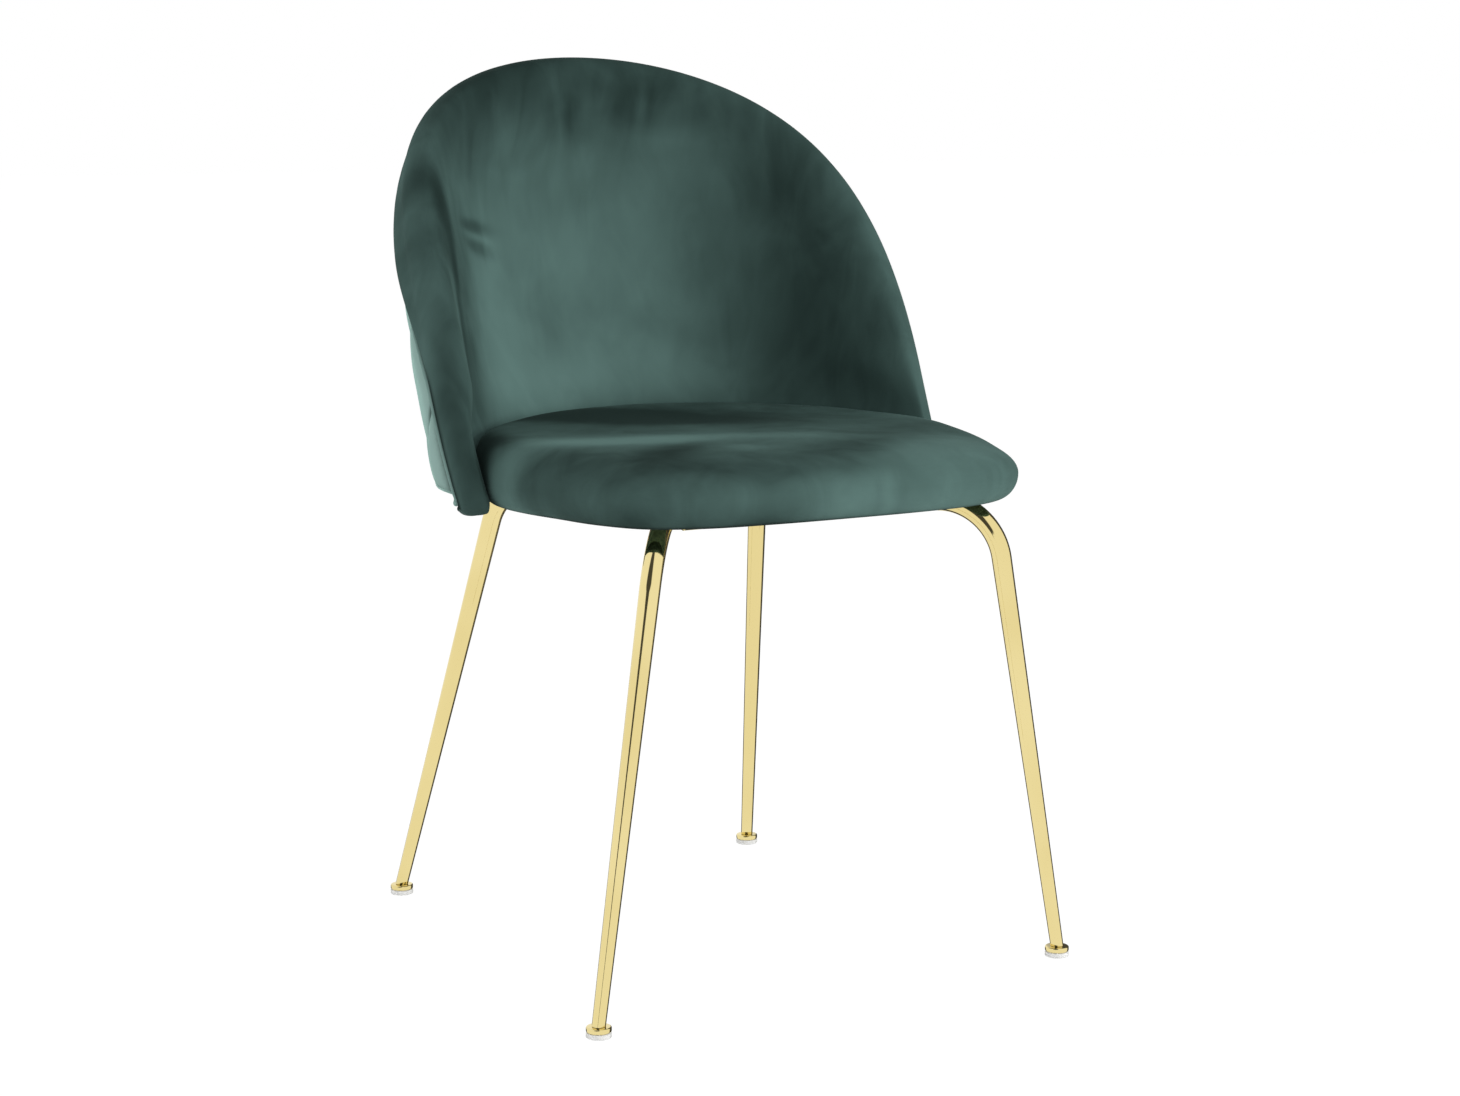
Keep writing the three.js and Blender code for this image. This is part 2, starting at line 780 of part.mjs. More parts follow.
// Rings of the cushion's surface at one depth below its face
function seatSurface(thickness) {
  const profiles = seatPlan.map((edge) => {
    const reach = Math.hypot(edge.x, edge.y - seatCentreY);
    return insetProfile(sideProfile(edge), reach, thickness);
  });
  const rings = profiles[0].map((unused, k) => seatPlan.map((edge, i) => {
    const { x: share, y: height } = profiles[i][k];
    const y = seatCentreY + (edge.y - seatCentreY) * share;
    return new THREE.Vector3(edge.x * share, y + rearLean(y, height), height);
  }));
  rings[0] = [rings[0][0]];
  return rings;
}

// Frame: where each leg stands, bends and points
const corners = {
  front_left: { side: -1, foot: frontFoot, knee: frontKnee, tabFromHub: tabFromHubFront },
  front_right: { side: 1, foot: frontFoot, knee: frontKnee, tabFromHub: tabFromHubFront },
  rear_left: { side: -1, foot: rearFoot, knee: rearKnee, tabFromHub: tabFromHubRear },
  rear_right: { side: 1, foot: rearFoot, knee: rearKnee, tabFromHub: tabFromHubRear },
};

const discTop = glideHeight + seatGap + discThickness;

// Where bolts rise into the seat board
const hubBolts = [-1, 1].map((side) => new THREE.Vector3((side * hubBoltSpacing) / 2, hubY, 0));
const strapBolts = strapSides.map((side) => new THREE.Vector3(
  footBoltRadius * Math.sin(strapTurns[side]),
  strapAxisY + footBoltRadius * Math.cos(strapTurns[side]),
  0,
));

// Holes for bolts that come up through the cloth, ending under the board
function shankHoles(places) {
  const up = new THREE.Vector3(0, 0, 1);
  return places.map((place) => pinCutter(place, up, boltShankRadius + boltPlay, 0, boardBottom));
}

const frameBolts = {
  ...Object.fromEntries(Object.entries(corners).map(([name, c]) => [name, tabPlace(c).bolt])),
  hub_left: hubBolts[0],
  hub_right: hubBolts[1],
};

const seatBolts = {
  ...frameBolts,
  ...Object.fromEntries(strapSides.map((side, i) => [`strap_${side}`, strapBolts[i]])),
};

function addSeat() {
  const outside = seatSurface(0);
  const inside = seatSurface(coverThickness);
  const coverSkin = skin([...outside, ...inside.reverse()], outside.length);
  const cover = cutBy(coverSkin, shankHoles(strapBolts));
  addPiece('seat_cover', cover, velvet);

  const foamFace = seatSurface(coverThickness + seatGap).slice(0, -2);
  const boardEdge = boardShare + seatGap / seatHalfWidth;
  const foamSkin = skin([
    ...foamFace,
    seatRing(boardEdge, hemTop + seatGap),
    seatRing(boardEdge, boardTop + seatGap),
    [new THREE.Vector3(0, seatCentreY, boardTop + seatGap)],
  ]);
  addPiece('seat_foam', foamSkin, foam);
}

function plateShape(width, depth, corner) {
  const shape = new THREE.Shape();
  const x = width / 2;
  const y = depth / 2;
  shape.moveTo(-x + corner, -y);
  shape.lineTo(x - corner, -y);
  shape.absarc(x - corner, -y + corner, corner, -Math.PI / 2, 0, false);
  shape.lineTo(x, y - corner);
  shape.absarc(x - corner, y - corner, corner, 0, Math.PI / 2, false);
  shape.lineTo(-x + corner, y);
  shape.absarc(-x + corner, y - corner, corner, Math.PI / 2, Math.PI, false);
  shape.lineTo(-x, -y + corner);
  shape.absarc(-x + corner, -y + corner, corner, Math.PI, 1.5 * Math.PI, false);
  return shape;
}

function roundHole(place, radius) {
  const points = Array.from({ length: fastenerSides }, (unused, i) => {
    const angle = (-2 * Math.PI * i) / fastenerSides;
    return new THREE.Vector2(Math.cos(angle), Math.sin(angle)).multiplyScalar(radius).add(place);
  });
  return new THREE.Path(points);
}

function slab(shape, bottom, thickness) {
  const geometry = new THREE.ExtrudeGeometry(shape, {
    depth: thickness,
    bevelEnabled: false,
    curveSegments: 2,
  });
  geometry.translate(0, 0, bottom);
  return faceOut(mergeBare(geometry));
}

// The centre line of a leg: straight up from the foot, a round bend, then the level arm
function legLine({ side, foot, knee }) {
  const bottom = new THREE.Vector3(side * foot.x, foot.y, discTop + seatGap);
  const corner = new THREE.Vector3(side * knee.x, knee.y, armHeight);
  const hub = new THREE.Vector3(0, hubY, armHeight);
  const up = corner.clone().sub(bottom).normalize();
  const inward = hub.clone().sub(corner).normalize();
  const turn = up.angleTo(inward);
  const tangent = bendRadius * Math.tan(turn / 2);
  const bendStart = corner.clone().addScaledVector(up, -tangent);
  const towards = inward.clone().addScaledVector(up, -inward.dot(up)).normalize();
  const centre = bendStart.clone().addScaledVector(towards, bendRadius);
  const armEnd = hub.clone().addScaledVector(inward, -armEndGap);
  return { bottom, corner, hub, up, inward, turn, bendStart, towards, centre, armEnd };
}

const bendSteps = 6;
const bottomTaperShares = [0.33, 0.66];

function addLeg(name, corner) {
  const line = legLine(corner);
  const places = [];
  const straight = line.bendStart.clone().sub(line.bottom);
  bottomTaperShares.forEach((share) => {
    places.push([line.bottom.clone().addScaledVector(straight, share), line.up, share]);
  });
  for (let i = 0; i <= bendSteps; i += 1) {
    const angle = (line.turn * i) / bendSteps;
    const place = line.centre.clone()
      .addScaledVector(line.towards, -bendRadius * Math.cos(angle))
      .addScaledVector(line.up, bendRadius * Math.sin(angle));
    const along = line.up.clone().multiplyScalar(Math.cos(angle))
      .addScaledVector(line.towards, Math.sin(angle));
    places.push([place, along, 1]);
  }
  places.push([line.armEnd, line.inward, 1]);
  const side = line.up.clone().cross(line.towards).normalize();
  const ringAt = ([place, along, share]) => {
    const radius = THREE.MathUtils.lerp(tubeFootRadius, tubeTopRadius, share);
    const across = along.clone().cross(side);
    return Array.from({ length: tubeSides }, (unused, i) => {
      const angle = (2 * Math.PI * (i + 0.5)) / tubeSides;
      return place.clone()
        .addScaledVector(side, radius * Math.cos(angle))
        .addScaledVector(across, radius * Math.sin(angle));
    });
  };
  const footRing = ringAt([line.bottom, line.up, 0]).map((point) => (
    point.addScaledVector(line.up, (line.bottom.z - point.z) / line.up.z)));
  const rings = [[line.bottom], footRing, ...places.map(ringAt), [line.armEnd]];
  addPiece(`leg_${name}`, skin(rings), gold);
}

function addFoot(name, corner) {
  const { bottom } = legLine(corner);
  const up = new THREE.Vector3(0, 0, 1);
  const ground = new THREE.Vector3(bottom.x, bottom.y, 0);
  const glide = [
    [0, 0],
    [discRadius - glideBevel, 0],
    [discRadius, glideBevel],
    [discRadius, glideHeight],
    [0, glideHeight],
  ];
  addPiece(`glide_${name}`, turnedPiece(glide, ground, up, discSides), clearPlastic);
  const discBottom = glideHeight + seatGap;
  const disc = [
    [0, discBottom],
    [discRadius, discBottom],
    [discRadius, discTop - discBevel],
    [discRadius - discBevel, discTop],
    [0, discTop],
  ];
  addPiece(`foot_disc_${name}`, turnedPiece(disc, ground, up, discSides), gold);
}

function tabPlace(corner) {
  const { hub, inward } = legLine(corner);
  const place = hub.clone().addScaledVector(inward, -corner.tabFromHub);
  const across = new THREE.Vector3(-inward.y, inward.x, 0).multiplyScalar(corner.side);
  if (across.x * corner.side > 0) {
    across.negate();
  }
  const bolt = place.clone().addScaledVector(across, tabBoltOffset);
  return { place, across, bolt };
}

function addTab(name, corner) {
  const { place, across } = tabPlace(corner);
  const shift = tabLength / 2 - tabOverTube;
  const shape = plateShape(tabLength, tabWidth, plateCorner);
  const hole = new THREE.Vector2(tabBoltOffset - shift, 0);
  shape.holes.push(roundHole(hole, boltShankRadius + boltPlay));
  const tab = slab(shape, plateBottom, plateThickness);
  tab.translate(shift, 0, 0);
  tab.rotateZ(Math.atan2(across.y, across.x));
  tab.translate(place.x, place.y, 0);
  addPiece(`mounting_tab_${name}`, tab, blackSteel);
}

function boardOutline(share) {
  return new THREE.Shape(seatRing(share, 0).map((p) => new THREE.Vector2(p.x, p.y)));
}

function addBoard() {
  const board = boardOutline(boardShare);
  const dust = boardOutline(dustShare);
  for (const place of Object.values(seatBolts)) {
    board.holes.push(roundHole(place, insertHole));
  }
  addPiece('seat_board', slab(board, boardBottom, boardThickness), plywood);
  const cloth = slab(dust, hemTop - dustThickness, dustThickness);
  addPiece('seat_dust_cover', cutBy(cloth, shankHoles(Object.values(seatBolts))), blackCloth);
}

function addSeatBolts() {
  const up = new THREE.Vector3(0, 0, 1);
  const toBoard = boardBottom - plateBottom;
  for (const [name, place] of Object.entries(seatBolts)) {
    const head = new THREE.Vector3(place.x, place.y, plateBottom - seatGap);
    const length = toBoard + boltPenetration + seatGap;
    addPiece(`seat_bolt_${name}`, boltGeometry(head, up, length), zincSteel);
    const insertBase = new THREE.Vector3(place.x, place.y, boardBottom);
    const insert = insertGeometry(insertBase, up, boardThickness - seatGap);
    addPiece(`seat_insert_${name}`, insert, zincSteel);
  }
}

function addHub() {
  const shape = plateShape(hubPlateWidth, hubPlateDepth, plateCorner);
  for (const place of hubBolts) {
    const hole = new THREE.Vector2(place.x, place.y - hubY);
    shape.holes.push(roundHole(hole, boltShankRadius + boltPlay));
  }
  const plate = slab(shape, plateBottom, plateThickness);
  plate.translate(0, hubY, 0);
  addPiece('hub_plate', plate, blackSteel);
}

// The cross tube runs between the two front arms
function addCrossTube() {
  const { corner, inward } = legLine(corners.front_right);
  const reach = (crossTubeY - corner.y) / inward.y;
  const armX = corner.x + inward.x * reach;
  const spread = (tubeTopRadius + seatGap) / Math.abs(inward.y);
  const lean = (crossTubeRadius * Math.abs(inward.x)) / Math.abs(inward.y);
  const half = armX - spread - lean;
  const left = new THREE.Vector3(-half, crossTubeY, armHeight);
  const profile = [[0, 0], [crossTubeRadius, 0], [crossTubeRadius, 2 * half], [0, 2 * half]];
  const tube = turnedPiece(profile, left, new THREE.Vector3(1, 0, 0), discSides);
  addPiece('front_cross_tube', tube, gold);
}

function addStraps() {
  const shankHole = boltShankRadius + boltPlay;
  const up = new THREE.Vector3(0, 0, 1);
  const half = plateThickness / 2;
  strapSides.forEach((side, i) => {
    const { head, outward, length, insertStart } = strapBolt(side);
    const bar = cutBy(strapSolid(strapShape(half, half, 0), strapWidth, side), [
      pinCutter(head, outward, shankHole, -cutOverrun, cutOverrun),
      pinCutter(strapBolts[i], up, shankHole, 0, boardBottom),
    ]);
    addPiece(`back_strap_${side}`, bar, blackSteel);
    addPiece(`back_bolt_${side}`, boltGeometry(head, outward, length), zincSteel);
    const insertLength = 2 * (plyHalfThickness - seatGap);
    const insert = insertGeometry(insertStart, outward, insertLength);
    addPiece(`back_insert_${side}`, insert, zincSteel);
  });
}

addBackPadding();
addPlywoodShell();
addQuiltedPanel();
addPiping();
addSeat();
addBoard();
addSeatBolts();
for (const [name, corner] of Object.entries(corners)) {
  addLeg(name, corner);
  addFoot(name, corner);
  addTab(name, corner);
}
addHub();
addCrossTube();
addStraps();

// The chair stands centred on its own footprint
const extent = new THREE.Box3().setFromObject(chair);
chair.position.y = -(extent.min.y + extent.max.y) / 2;

export default chair;
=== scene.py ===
from math import cos, hypot, pi, radians, sin, sqrt, tan

import bmesh
import bpy
import numpy as np
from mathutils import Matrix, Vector, noise
from mathutils.geometry import delaunay_2d_cdt


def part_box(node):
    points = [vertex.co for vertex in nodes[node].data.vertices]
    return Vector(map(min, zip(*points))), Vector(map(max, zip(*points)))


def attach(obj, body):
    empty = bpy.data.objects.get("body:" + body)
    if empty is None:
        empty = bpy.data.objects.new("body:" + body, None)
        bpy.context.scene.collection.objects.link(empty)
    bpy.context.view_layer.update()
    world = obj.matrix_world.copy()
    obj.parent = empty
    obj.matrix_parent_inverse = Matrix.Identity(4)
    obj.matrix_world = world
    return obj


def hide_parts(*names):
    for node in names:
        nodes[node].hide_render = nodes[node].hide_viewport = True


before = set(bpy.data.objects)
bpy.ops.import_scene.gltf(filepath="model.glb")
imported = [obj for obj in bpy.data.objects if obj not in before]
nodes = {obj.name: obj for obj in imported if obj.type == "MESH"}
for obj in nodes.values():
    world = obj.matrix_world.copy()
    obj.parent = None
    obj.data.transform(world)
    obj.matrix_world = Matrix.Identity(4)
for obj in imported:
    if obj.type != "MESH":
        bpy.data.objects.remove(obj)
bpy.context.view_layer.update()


# The studio: an eye-level camera off the chair's left front corner, and a white floor that
# runs out of the picture. The chair's centre lies a little off the middle of its feet, so
# every place front to back is counted from the point halfway between the four glides.
def middle(node):
    low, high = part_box(node)
    return (low + high) / 2


centre_y = (middle("glide_front_left").y + middle("glide_rear_left").y) / 2

scene = bpy.context.scene
scene.view_settings.view_transform = "Standard"
camera = bpy.data.objects.new("camera", bpy.data.cameras.new("camera"))
scene.collection.objects.link(camera)
camera.location = (-1.2867, centre_y - 2.285, 0.7592)
camera.rotation_euler = (radians(81.03), 0, radians(-29.99))
camera.data.lens = 73.97
camera.data.sensor_width = 36
scene.camera = camera


class Wire:
    """An output in a node tree: sums with it add Math nodes, and add() makes other nodes."""

    def __init__(self, tree, socket=None):
        self.tree = tree
        self.socket = socket

    def add(self, kind, settings, values, out=0):
        node = self.tree.nodes.new("ShaderNode" + kind)
        for name, setting in settings.items():
            setattr(node, name, setting)
        for name, value in values.items():
            self.put(value, node.inputs[name])
        return Wire(self.tree, node.outputs[out])

    def put(self, value, socket):
        if isinstance(value, Wire):
            self.tree.links.new(value.socket, socket)
        else:
            socket.default_value = value

    def math(self, operation, first, second=0.0):
        return self.add("Math", {"operation": operation}, {0: first, 1: second})

    def __add__(self, other):
        return self.math("ADD", self, other)

    def __sub__(self, other):
        return self.math("SUBTRACT", self, other)

    def __mul__(self, other):
        return self.math("MULTIPLY", self, other)

    def __rsub__(self, other):
        return self.math("SUBTRACT", other, self)

    __radd__ = __add__
    __rmul__ = __mul__

    def __abs__(self):
        return self.math("ABSOLUTE", self)

    def most(self, other):
        return self.math("MAXIMUM", self, other)

    def ease(self, low, high):
        """A smooth climb from 0 where this is low to 1 where it is high."""
        settings = {"interpolation_type": "SMOOTHSTEP"}
        return self.add("MapRange", settings, {0: self, 1: low, 2: high})

    def blend(self, first, second):
        """The first colour where this mask is 0, and the second where it is 1."""
        values = {0: self, 6: (*first, 1), 7: (*second, 1)}
        return self.add("Mix", {"data_type": "RGBA"}, values, out=2)

    def noise(self, place, scale, detail, distortion=0.0):
        values = {"Vector": place, "Scale": scale, "Detail": detail, "Distortion": distortion}
        return self.add("TexNoise", {}, values)

    def bump(self, strength, distance, height):
        values = {"Strength": strength, "Distance": distance, "Height": height}
        return self.add("Bump", {}, values)

    def place(self, stretch=(1, 1, 1)):
        """The place on the piece, in metres, stretched along its axes."""
        spot = self.add("TexCoord", {}, {}, out="Object")
        settings = {"operation": "MULTIPLY"}
        return self.add("VectorMath", settings, {0: spot, 1: stretch})

    def axis(self, place, name):
        return self.add("SeparateXYZ", {}, {0: place}, out=name)

    def ray(self, name):
        return self.add("LightPath", {}, {}, out=f"Is {name} Ray")


# The light: a plain pale room all round, white where the camera, metal or glass looks at it.
# Metal also sees the dark gaps between the white screens, which draw thin lines down the legs.
room = bpy.data.worlds.new("room")
room.use_nodes = True
scene.world = room
sky = Wire(room.node_tree)
way = sky.add("TexCoord", {}, {}, out="Generated")
bearing = sky.math("ARCTAN2", sky.axis(way, "X"), sky.axis(way, "Y"))
climb = sky.axis(way, "Z")
# Each gap's bearing and half width in radians, and the climb where it is shut and fully open.
screen_gaps = [(1.14, 0.62, -3.0, -2.0), (0.03, 0.4, -0.1, -0.3), (-2.33, 0.52, -0.15, 0.27)]
gap_core_share = 0.75
gap_darkness = 0.93
gap_mask = 0.0
for turn, half_width, shut, open_wide in screen_gaps:
    reach = climb.ease(shut, open_wide) * half_width
    away = abs(bearing - turn)
    gap_mask = away.ease(reach + 0.001, reach * gap_core_share).most(gap_mask)
screens = 1 - gap_mask * gap_darkness
room_level = 0.55
seen = sky.ray("Camera").most(sky.ray("Transmission"))
glossy = sky.ray("Glossy")
level = seen + (1 - seen) * (glossy * screens + (1 - glossy) * room_level)
background = room.node_tree.nodes["Background"]
background.inputs["Color"].default_value = (1, 1, 1, 1)
sky.put(level, background.inputs["Strength"])

# Each lamp's place, width and power, aimed at the middle of the chair.
lamp_aim = Vector((0, 0, 0.5))
lamps = {
    "right_screen": ((2.0, -1.9, 1.0), 1.5, 46),
    "front_screen": ((-1.0, -2.6, 1.4), 1.6, 24),
    "left_screen": ((-2.4, 0.9, 0.9), 1.4, 14),
}
for name, (spot, width, power) in lamps.items():
    lamp = bpy.data.objects.new(name, bpy.data.lights.new(name, "AREA"))
    scene.collection.objects.link(lamp)
    lamp.location = spot
    lamp.rotation_euler = (lamp_aim - lamp.location).to_track_quat("-Z", "Y").to_euler()
    lamp.data.shape = "SQUARE"
    lamp.data.size = width
    lamp.data.energy = power
    lamp.visible_glossy = False
    lamp.visible_camera = False


def shaded(name, constants):
    """A material, the start of its node tree and its shader's sockets."""
    made = bpy.data.materials.new(name)
    made.use_nodes = True
    sockets = made.node_tree.nodes["Principled BSDF"].inputs
    for socket, value in constants.items():
        sockets[socket].default_value = value
    return made, Wire(made.node_tree), sockets


def finished(sockets, colour, roughness, grain=None):
    """Varying colour, roughness and fine bumps on a shader's sockets."""
    looks = {"Base Color": colour, "Roughness": roughness, "Normal": grain}
    for socket, look in looks.items():
        if look:
            look.put(look, sockets[socket])


bpy.ops.mesh.primitive_plane_add(size=40, location=(0, 0, 0))
floor = bpy.context.object
floor.name = "floor"
matt_white = {"Base Color": (0.92, 0.92, 0.92, 1), "Roughness": 1.0, "Specular IOR Level": 0.0}
floor_finish, wire, _ = shaded("white_floor", matt_white)
direct = wire.ray("Camera").most(wire.ray("Glossy")).most(wire.ray("Transmission"))
white = wire.add("Emission", {}, {"Color": (1, 1, 1, 1), "Strength": 1.085})
floor_nodes = floor_finish.node_tree.nodes
painted = Wire(floor_finish.node_tree, floor_nodes["Principled BSDF"].outputs[0])
glow_share = 0.86
shown = wire.add("MixShader", {}, {0: direct * glow_share, 1: painted, 2: white})
wire.put(shown, floor_nodes["Material Output"].inputs["Surface"])
floor.data.materials.append(floor_finish)
floor.visible_glossy = False


# Legs: four round steel tubes, bent once under the seat and drawn down to slim feet, then
# polished and plated in pale gold. Their level arms point at the hub under the seat.
def between(start, end, share):
    return start + (end - start) * share


def skin(rings, loop=False):
    """Points and faces of a surface over rings of places. A ring of one place closes an end."""
    rings = [np.atleast_2d(ring) for ring in rings]
    starts = np.cumsum([0] + [len(ring) for ring in rings])
    faces = []
    pairs = [(r, r + 1) for r in range(len(rings) - 1)]
    if loop:
        pairs.append((len(rings) - 1, 0))
    for here, there in pairs:
        count = max(len(rings[here]), len(rings[there]))
        for i in range(count):
            j = (i + 1) % count
            a, b = starts[here], starts[there]
            if len(rings[there]) == 1:
                faces.append((a + i, a + j, b))
            elif len(rings[here]) == 1:
                faces.append((a, b + j, b + i))
            else:
                faces.append((a + i, a + j, b + j, b + i))
    return np.concatenate(rings), faces


def face_out(mesh, recalculate=False):
    """Turn the faces of a closed mesh outwards."""
    shape = bmesh.new()
    shape.from_mesh(mesh)
    if recalculate:
        bmesh.ops.recalc_face_normals(shape, faces=shape.faces)
    if shape.calc_volume(signed=True) < 0:
        bmesh.ops.reverse_faces(shape, faces=shape.faces)
    shape.to_mesh(mesh)
    shape.free()


def piece(name, points, faces, finish, slot, stands_for=(), sharp=40):
    """A closed mesh as an object of the chair. Edges sharper than an angle stay crisp."""
    mesh = bpy.data.meshes.new(name)
    places = [tuple(map(float, p)) for p in points]
    mesh.from_pydata(places, [], [tuple(map(int, f)) for f in faces])
    mesh.validate()
    face_out(mesh)
    mesh.shade_smooth()
    mesh.set_sharp_from_angle(angle=radians(sharp))
    made = bpy.data.objects.new(name, mesh)
    scene.collection.objects.link(made)
    made.data.materials.append(finish)
    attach(made, "root")
    if stands_for:
        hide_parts(*stands_for)
    return made


gold, wire, sockets = shaded("polished_gold", {"Metallic": 1.0})
here = wire.place()
tone = wire.noise(here, 9, 2).ease(0.35, 0.65)
colour = tone.blend((0.8, 0.665, 0.3), (0.845, 0.715, 0.345))
handling = wire.noise(here, 40, 3).ease(0.5, 0.8)
hairline = wire.noise(wire.place((1, 1, 0.05)), 900, 2)
roughness = 0.045 + handling * 0.05 + hairline * 0.015
finished(sockets, colour, roughness, wire.bump(0.01, 0.0001, hairline))

tube_radius = 0.0086
foot_radius = 0.0057
arm_height = 0.4004
bend_radius = 0.0528
glide_height = 0.0042
disc_height = 0.0044
seat_gap = 0.0003
hub = Vector((0, centre_y + 0.005, arm_height))
arm_end_gap = 0.034
# The rounding of an arm's end: how far back, and the share of the radius there.
arm_end_steps = ((0.0012, 1), (0.0003, 0.95), (0, 0.86))
foot_face_share = 0.85
tube_sides = 40
tube_steps = 22
bend_steps = 25
leg_feet = {"front": (0.225, -0.2359), "rear": (0.1875, 0.2359)}
leg_knees = {"front": (0.1625, -0.2205), "rear": (0.1337, 0.1222)}
corners = {
    f"{end}_{hand}": (side, leg_feet[end], leg_knees[end])
    for end in ("front", "rear")
    for hand, side in (("left", -1), ("right", 1))
}


def circle(sides):
    """The two shares of the places round a circle, each in a column."""
    turns = 2 * pi * np.arange(sides)[:, None] / sides
    return np.cos(turns), np.sin(turns)


def tube_ring(place, along, side, radius, sides=tube_sides):
    one, other = circle(sides)
    return np.array(place) + radius * (one * np.array(side) + other * np.array(along.cross(side)))


foot_base = glide_height + disc_height + 2 * seat_gap
for name, (hand, foot, knee) in corners.items():
    bottom = Vector((hand * foot[0], centre_y + foot[1], foot_base))
    corner = Vector((hand * knee[0], centre_y + knee[1], arm_height))
    up = (corner - bottom).normalized()
    inward = (hub - corner).normalized()
    turn = up.angle(inward)
    bend_start = corner - up * (bend_radius * tan(turn / 2))
    towards = (inward - up * inward.dot(up)).normalized()
    side = up.cross(towards).normalized()
    centre = bend_start + towards * bend_radius
    foot_ring = tube_ring(bottom, up, side, foot_radius)
    foot_ring += np.outer((bottom.z - foot_ring[:, 2]) / up.z, np.array(up))
    foot_face = between(np.array(bottom), foot_ring, foot_face_share)
    rings = [bottom, foot_face, foot_ring]
    for share in np.linspace(0.04, 1, tube_steps)[:-1]:
        radius = between(foot_radius, tube_radius, share)
        rings.append(tube_ring(bottom.lerp(bend_start, share), up, side, radius))
    for angle in np.linspace(0, turn, bend_steps):
        out = up * sin(angle) - towards * cos(angle)
        along = up * cos(angle) + towards * sin(angle)
        rings.append(tube_ring(centre + out * bend_radius, along, side, tube_radius))
    arm_end = hub - inward * arm_end_gap
    for back_off, shrink in arm_end_steps:
        rings.append(tube_ring(arm_end - inward * back_off, inward, side, tube_radius * shrink))
    rings.append(arm_end)
    piece(f"leg_tube_{name}", *skin(rings), gold, "gold", [f"leg_{name}"])


# The cross tube: a level tube welded between the two front arms, plated with them.
def turned(profile, place, direction, sides=48):
    """A lathe shape of (radius, height) points, set at a place and along a direction."""
    along = Vector(direction).normalized()
    side = along.orthogonal().normalized()
    rings = []
    for radius, height in profile:
        centre = Vector(place) + along * height
        rings.append(tube_ring(centre, along, side, radius, sides) if radius else centre)
    return skin(rings)


low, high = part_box("front_cross_tube")
cross_radius = (high.z - low.z) / 2
cross_length = high.x - low.x
cross_edge = 0.0006
cross_face = cross_radius * 0.9
cross_profile = [
    (0, 0),
    (cross_face, 0),
    (cross_radius, cross_edge),
    (cross_radius, cross_length - cross_edge),
    (cross_face, cross_length),
    (0, cross_length),
]
cross_start = (low.x, (low.y + high.y) / 2, (low.z + high.z) / 2)
shape = turned(cross_profile, cross_start, (1, 0, 0))
piece("cross_tube", *shape, gold, "gold", ["front_cross_tube"])


# Feet: a turned disc, plated like the tube that is welded to it, over a moulded glide of
# pale clear plastic that stands on the floor.
clear_plastic, wire, sockets = shaded("clear_plastic", {"Transmission Weight": 0.35, "IOR": 1.46})
scuffs = wire.noise(wire.place((1, 1, 4)), 240, 3)
colour = scuffs.ease(0.4, 0.7).blend((0.93, 0.93, 0.92), (0.86, 0.86, 0.84))
finished(sockets, colour, 0.22 + scuffs * 0.25)

disc_radius = 0.0104
disc_bevel = 0.0011
glide_bevel = 0.0009


def rounded(radius, low, high, bevel, steps=5):
    """The outline of a disc with rounded edges, from the axis round to the axis."""
    turns = [pi / 2 * i / steps for i in range(steps + 1)]
    flat = radius - bevel
    bottom = [(flat + bevel * sin(t), low + bevel * (1 - cos(t))) for t in turns]
    top = [(flat + bevel * cos(t), high - bevel * (1 - sin(t))) for t in turns]
    return [(0, low)] + bottom + top + [(0, high)]


foot_parts = [
    ("glide_pad", "glide", 0, glide_height, glide_bevel, clear_plastic, "clear_plastic"),
    ("disc", "foot_disc", glide_height + seat_gap, disc_height, disc_bevel, gold, "gold"),
]
for name in corners:
    ground = middle(f"glide_{name}")
    ground.z = 0
    for kind, node, base, height, bevel, finish, slot in foot_parts:
        outline = rounded(disc_radius, base, base + height, bevel)
        shape = turned(outline, ground, (0, 0, 1))
        piece(f"{kind}_{name}", *shape, finish, slot, [f"{node}_{name}"])


# Plates and straps: cut and bent from 3 mm steel, their edges broken, powder coated black.
# The plates are welded to the arms, and the straps hold the back to the seat board.
def refinish(node, finish):
    nodes[node].data.materials.clear()
    nodes[node].data.materials.append(finish)


def eased_edges(node, width):
    """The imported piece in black, with its edges broken by a small bevel."""
    shown = nodes[node]
    weld = shown.modifiers.new("weld", "WELD")
    weld.merge_threshold = 0.00001
    bevel = shown.modifiers.new("broken_edges", "BEVEL")
    bevel.width = width
    bevel.segments = 3
    bevel.limit_method = "ANGLE"
    bevel.angle_limit = radians(35)
    refinish(node, powder)


powder, wire, sockets = shaded("black_powder_coat", {"Metallic": 0.0})
here = wire.place()
speckle = wire.noise(here, 1400, 2)
rub = wire.noise(here, 60, 4).ease(0.62, 0.8)
colour = rub.blend((0.018, 0.018, 0.019), (0.035, 0.035, 0.037))
orange_peel = wire.bump(0.35, 0.0002, speckle)
finished(sockets, colour, 0.48 + speckle * 0.2 - rub * 0.1, orange_peel)

plate_edge = 0.0005
strap_edge = 0.0006
eased_edges("hub_plate", plate_edge)
for name in corners:
    eased_edges(f"mounting_tab_{name}", plate_edge)
strap_sides = {"left": -1, "centre": 0, "right": 1}
for hand in strap_sides:
    eased_edges(f"back_strap_{hand}", strap_edge)


# Bolts and inserts: zinc-plated socket bolts with low round heads, driven into threaded
# inserts in the board and the shell.
zinc, wire, sockets = shaded("zinc_plate", {"Metallic": 1.0})
here = wire.place()
passivation = wire.noise(here, 130, 3).ease(0.35, 0.7)
colour = passivation.blend((0.5, 0.51, 0.52), (0.58, 0.57, 0.5))
finished(sockets, colour, 0.28 + wire.noise(here, 700, 2) * 0.2)

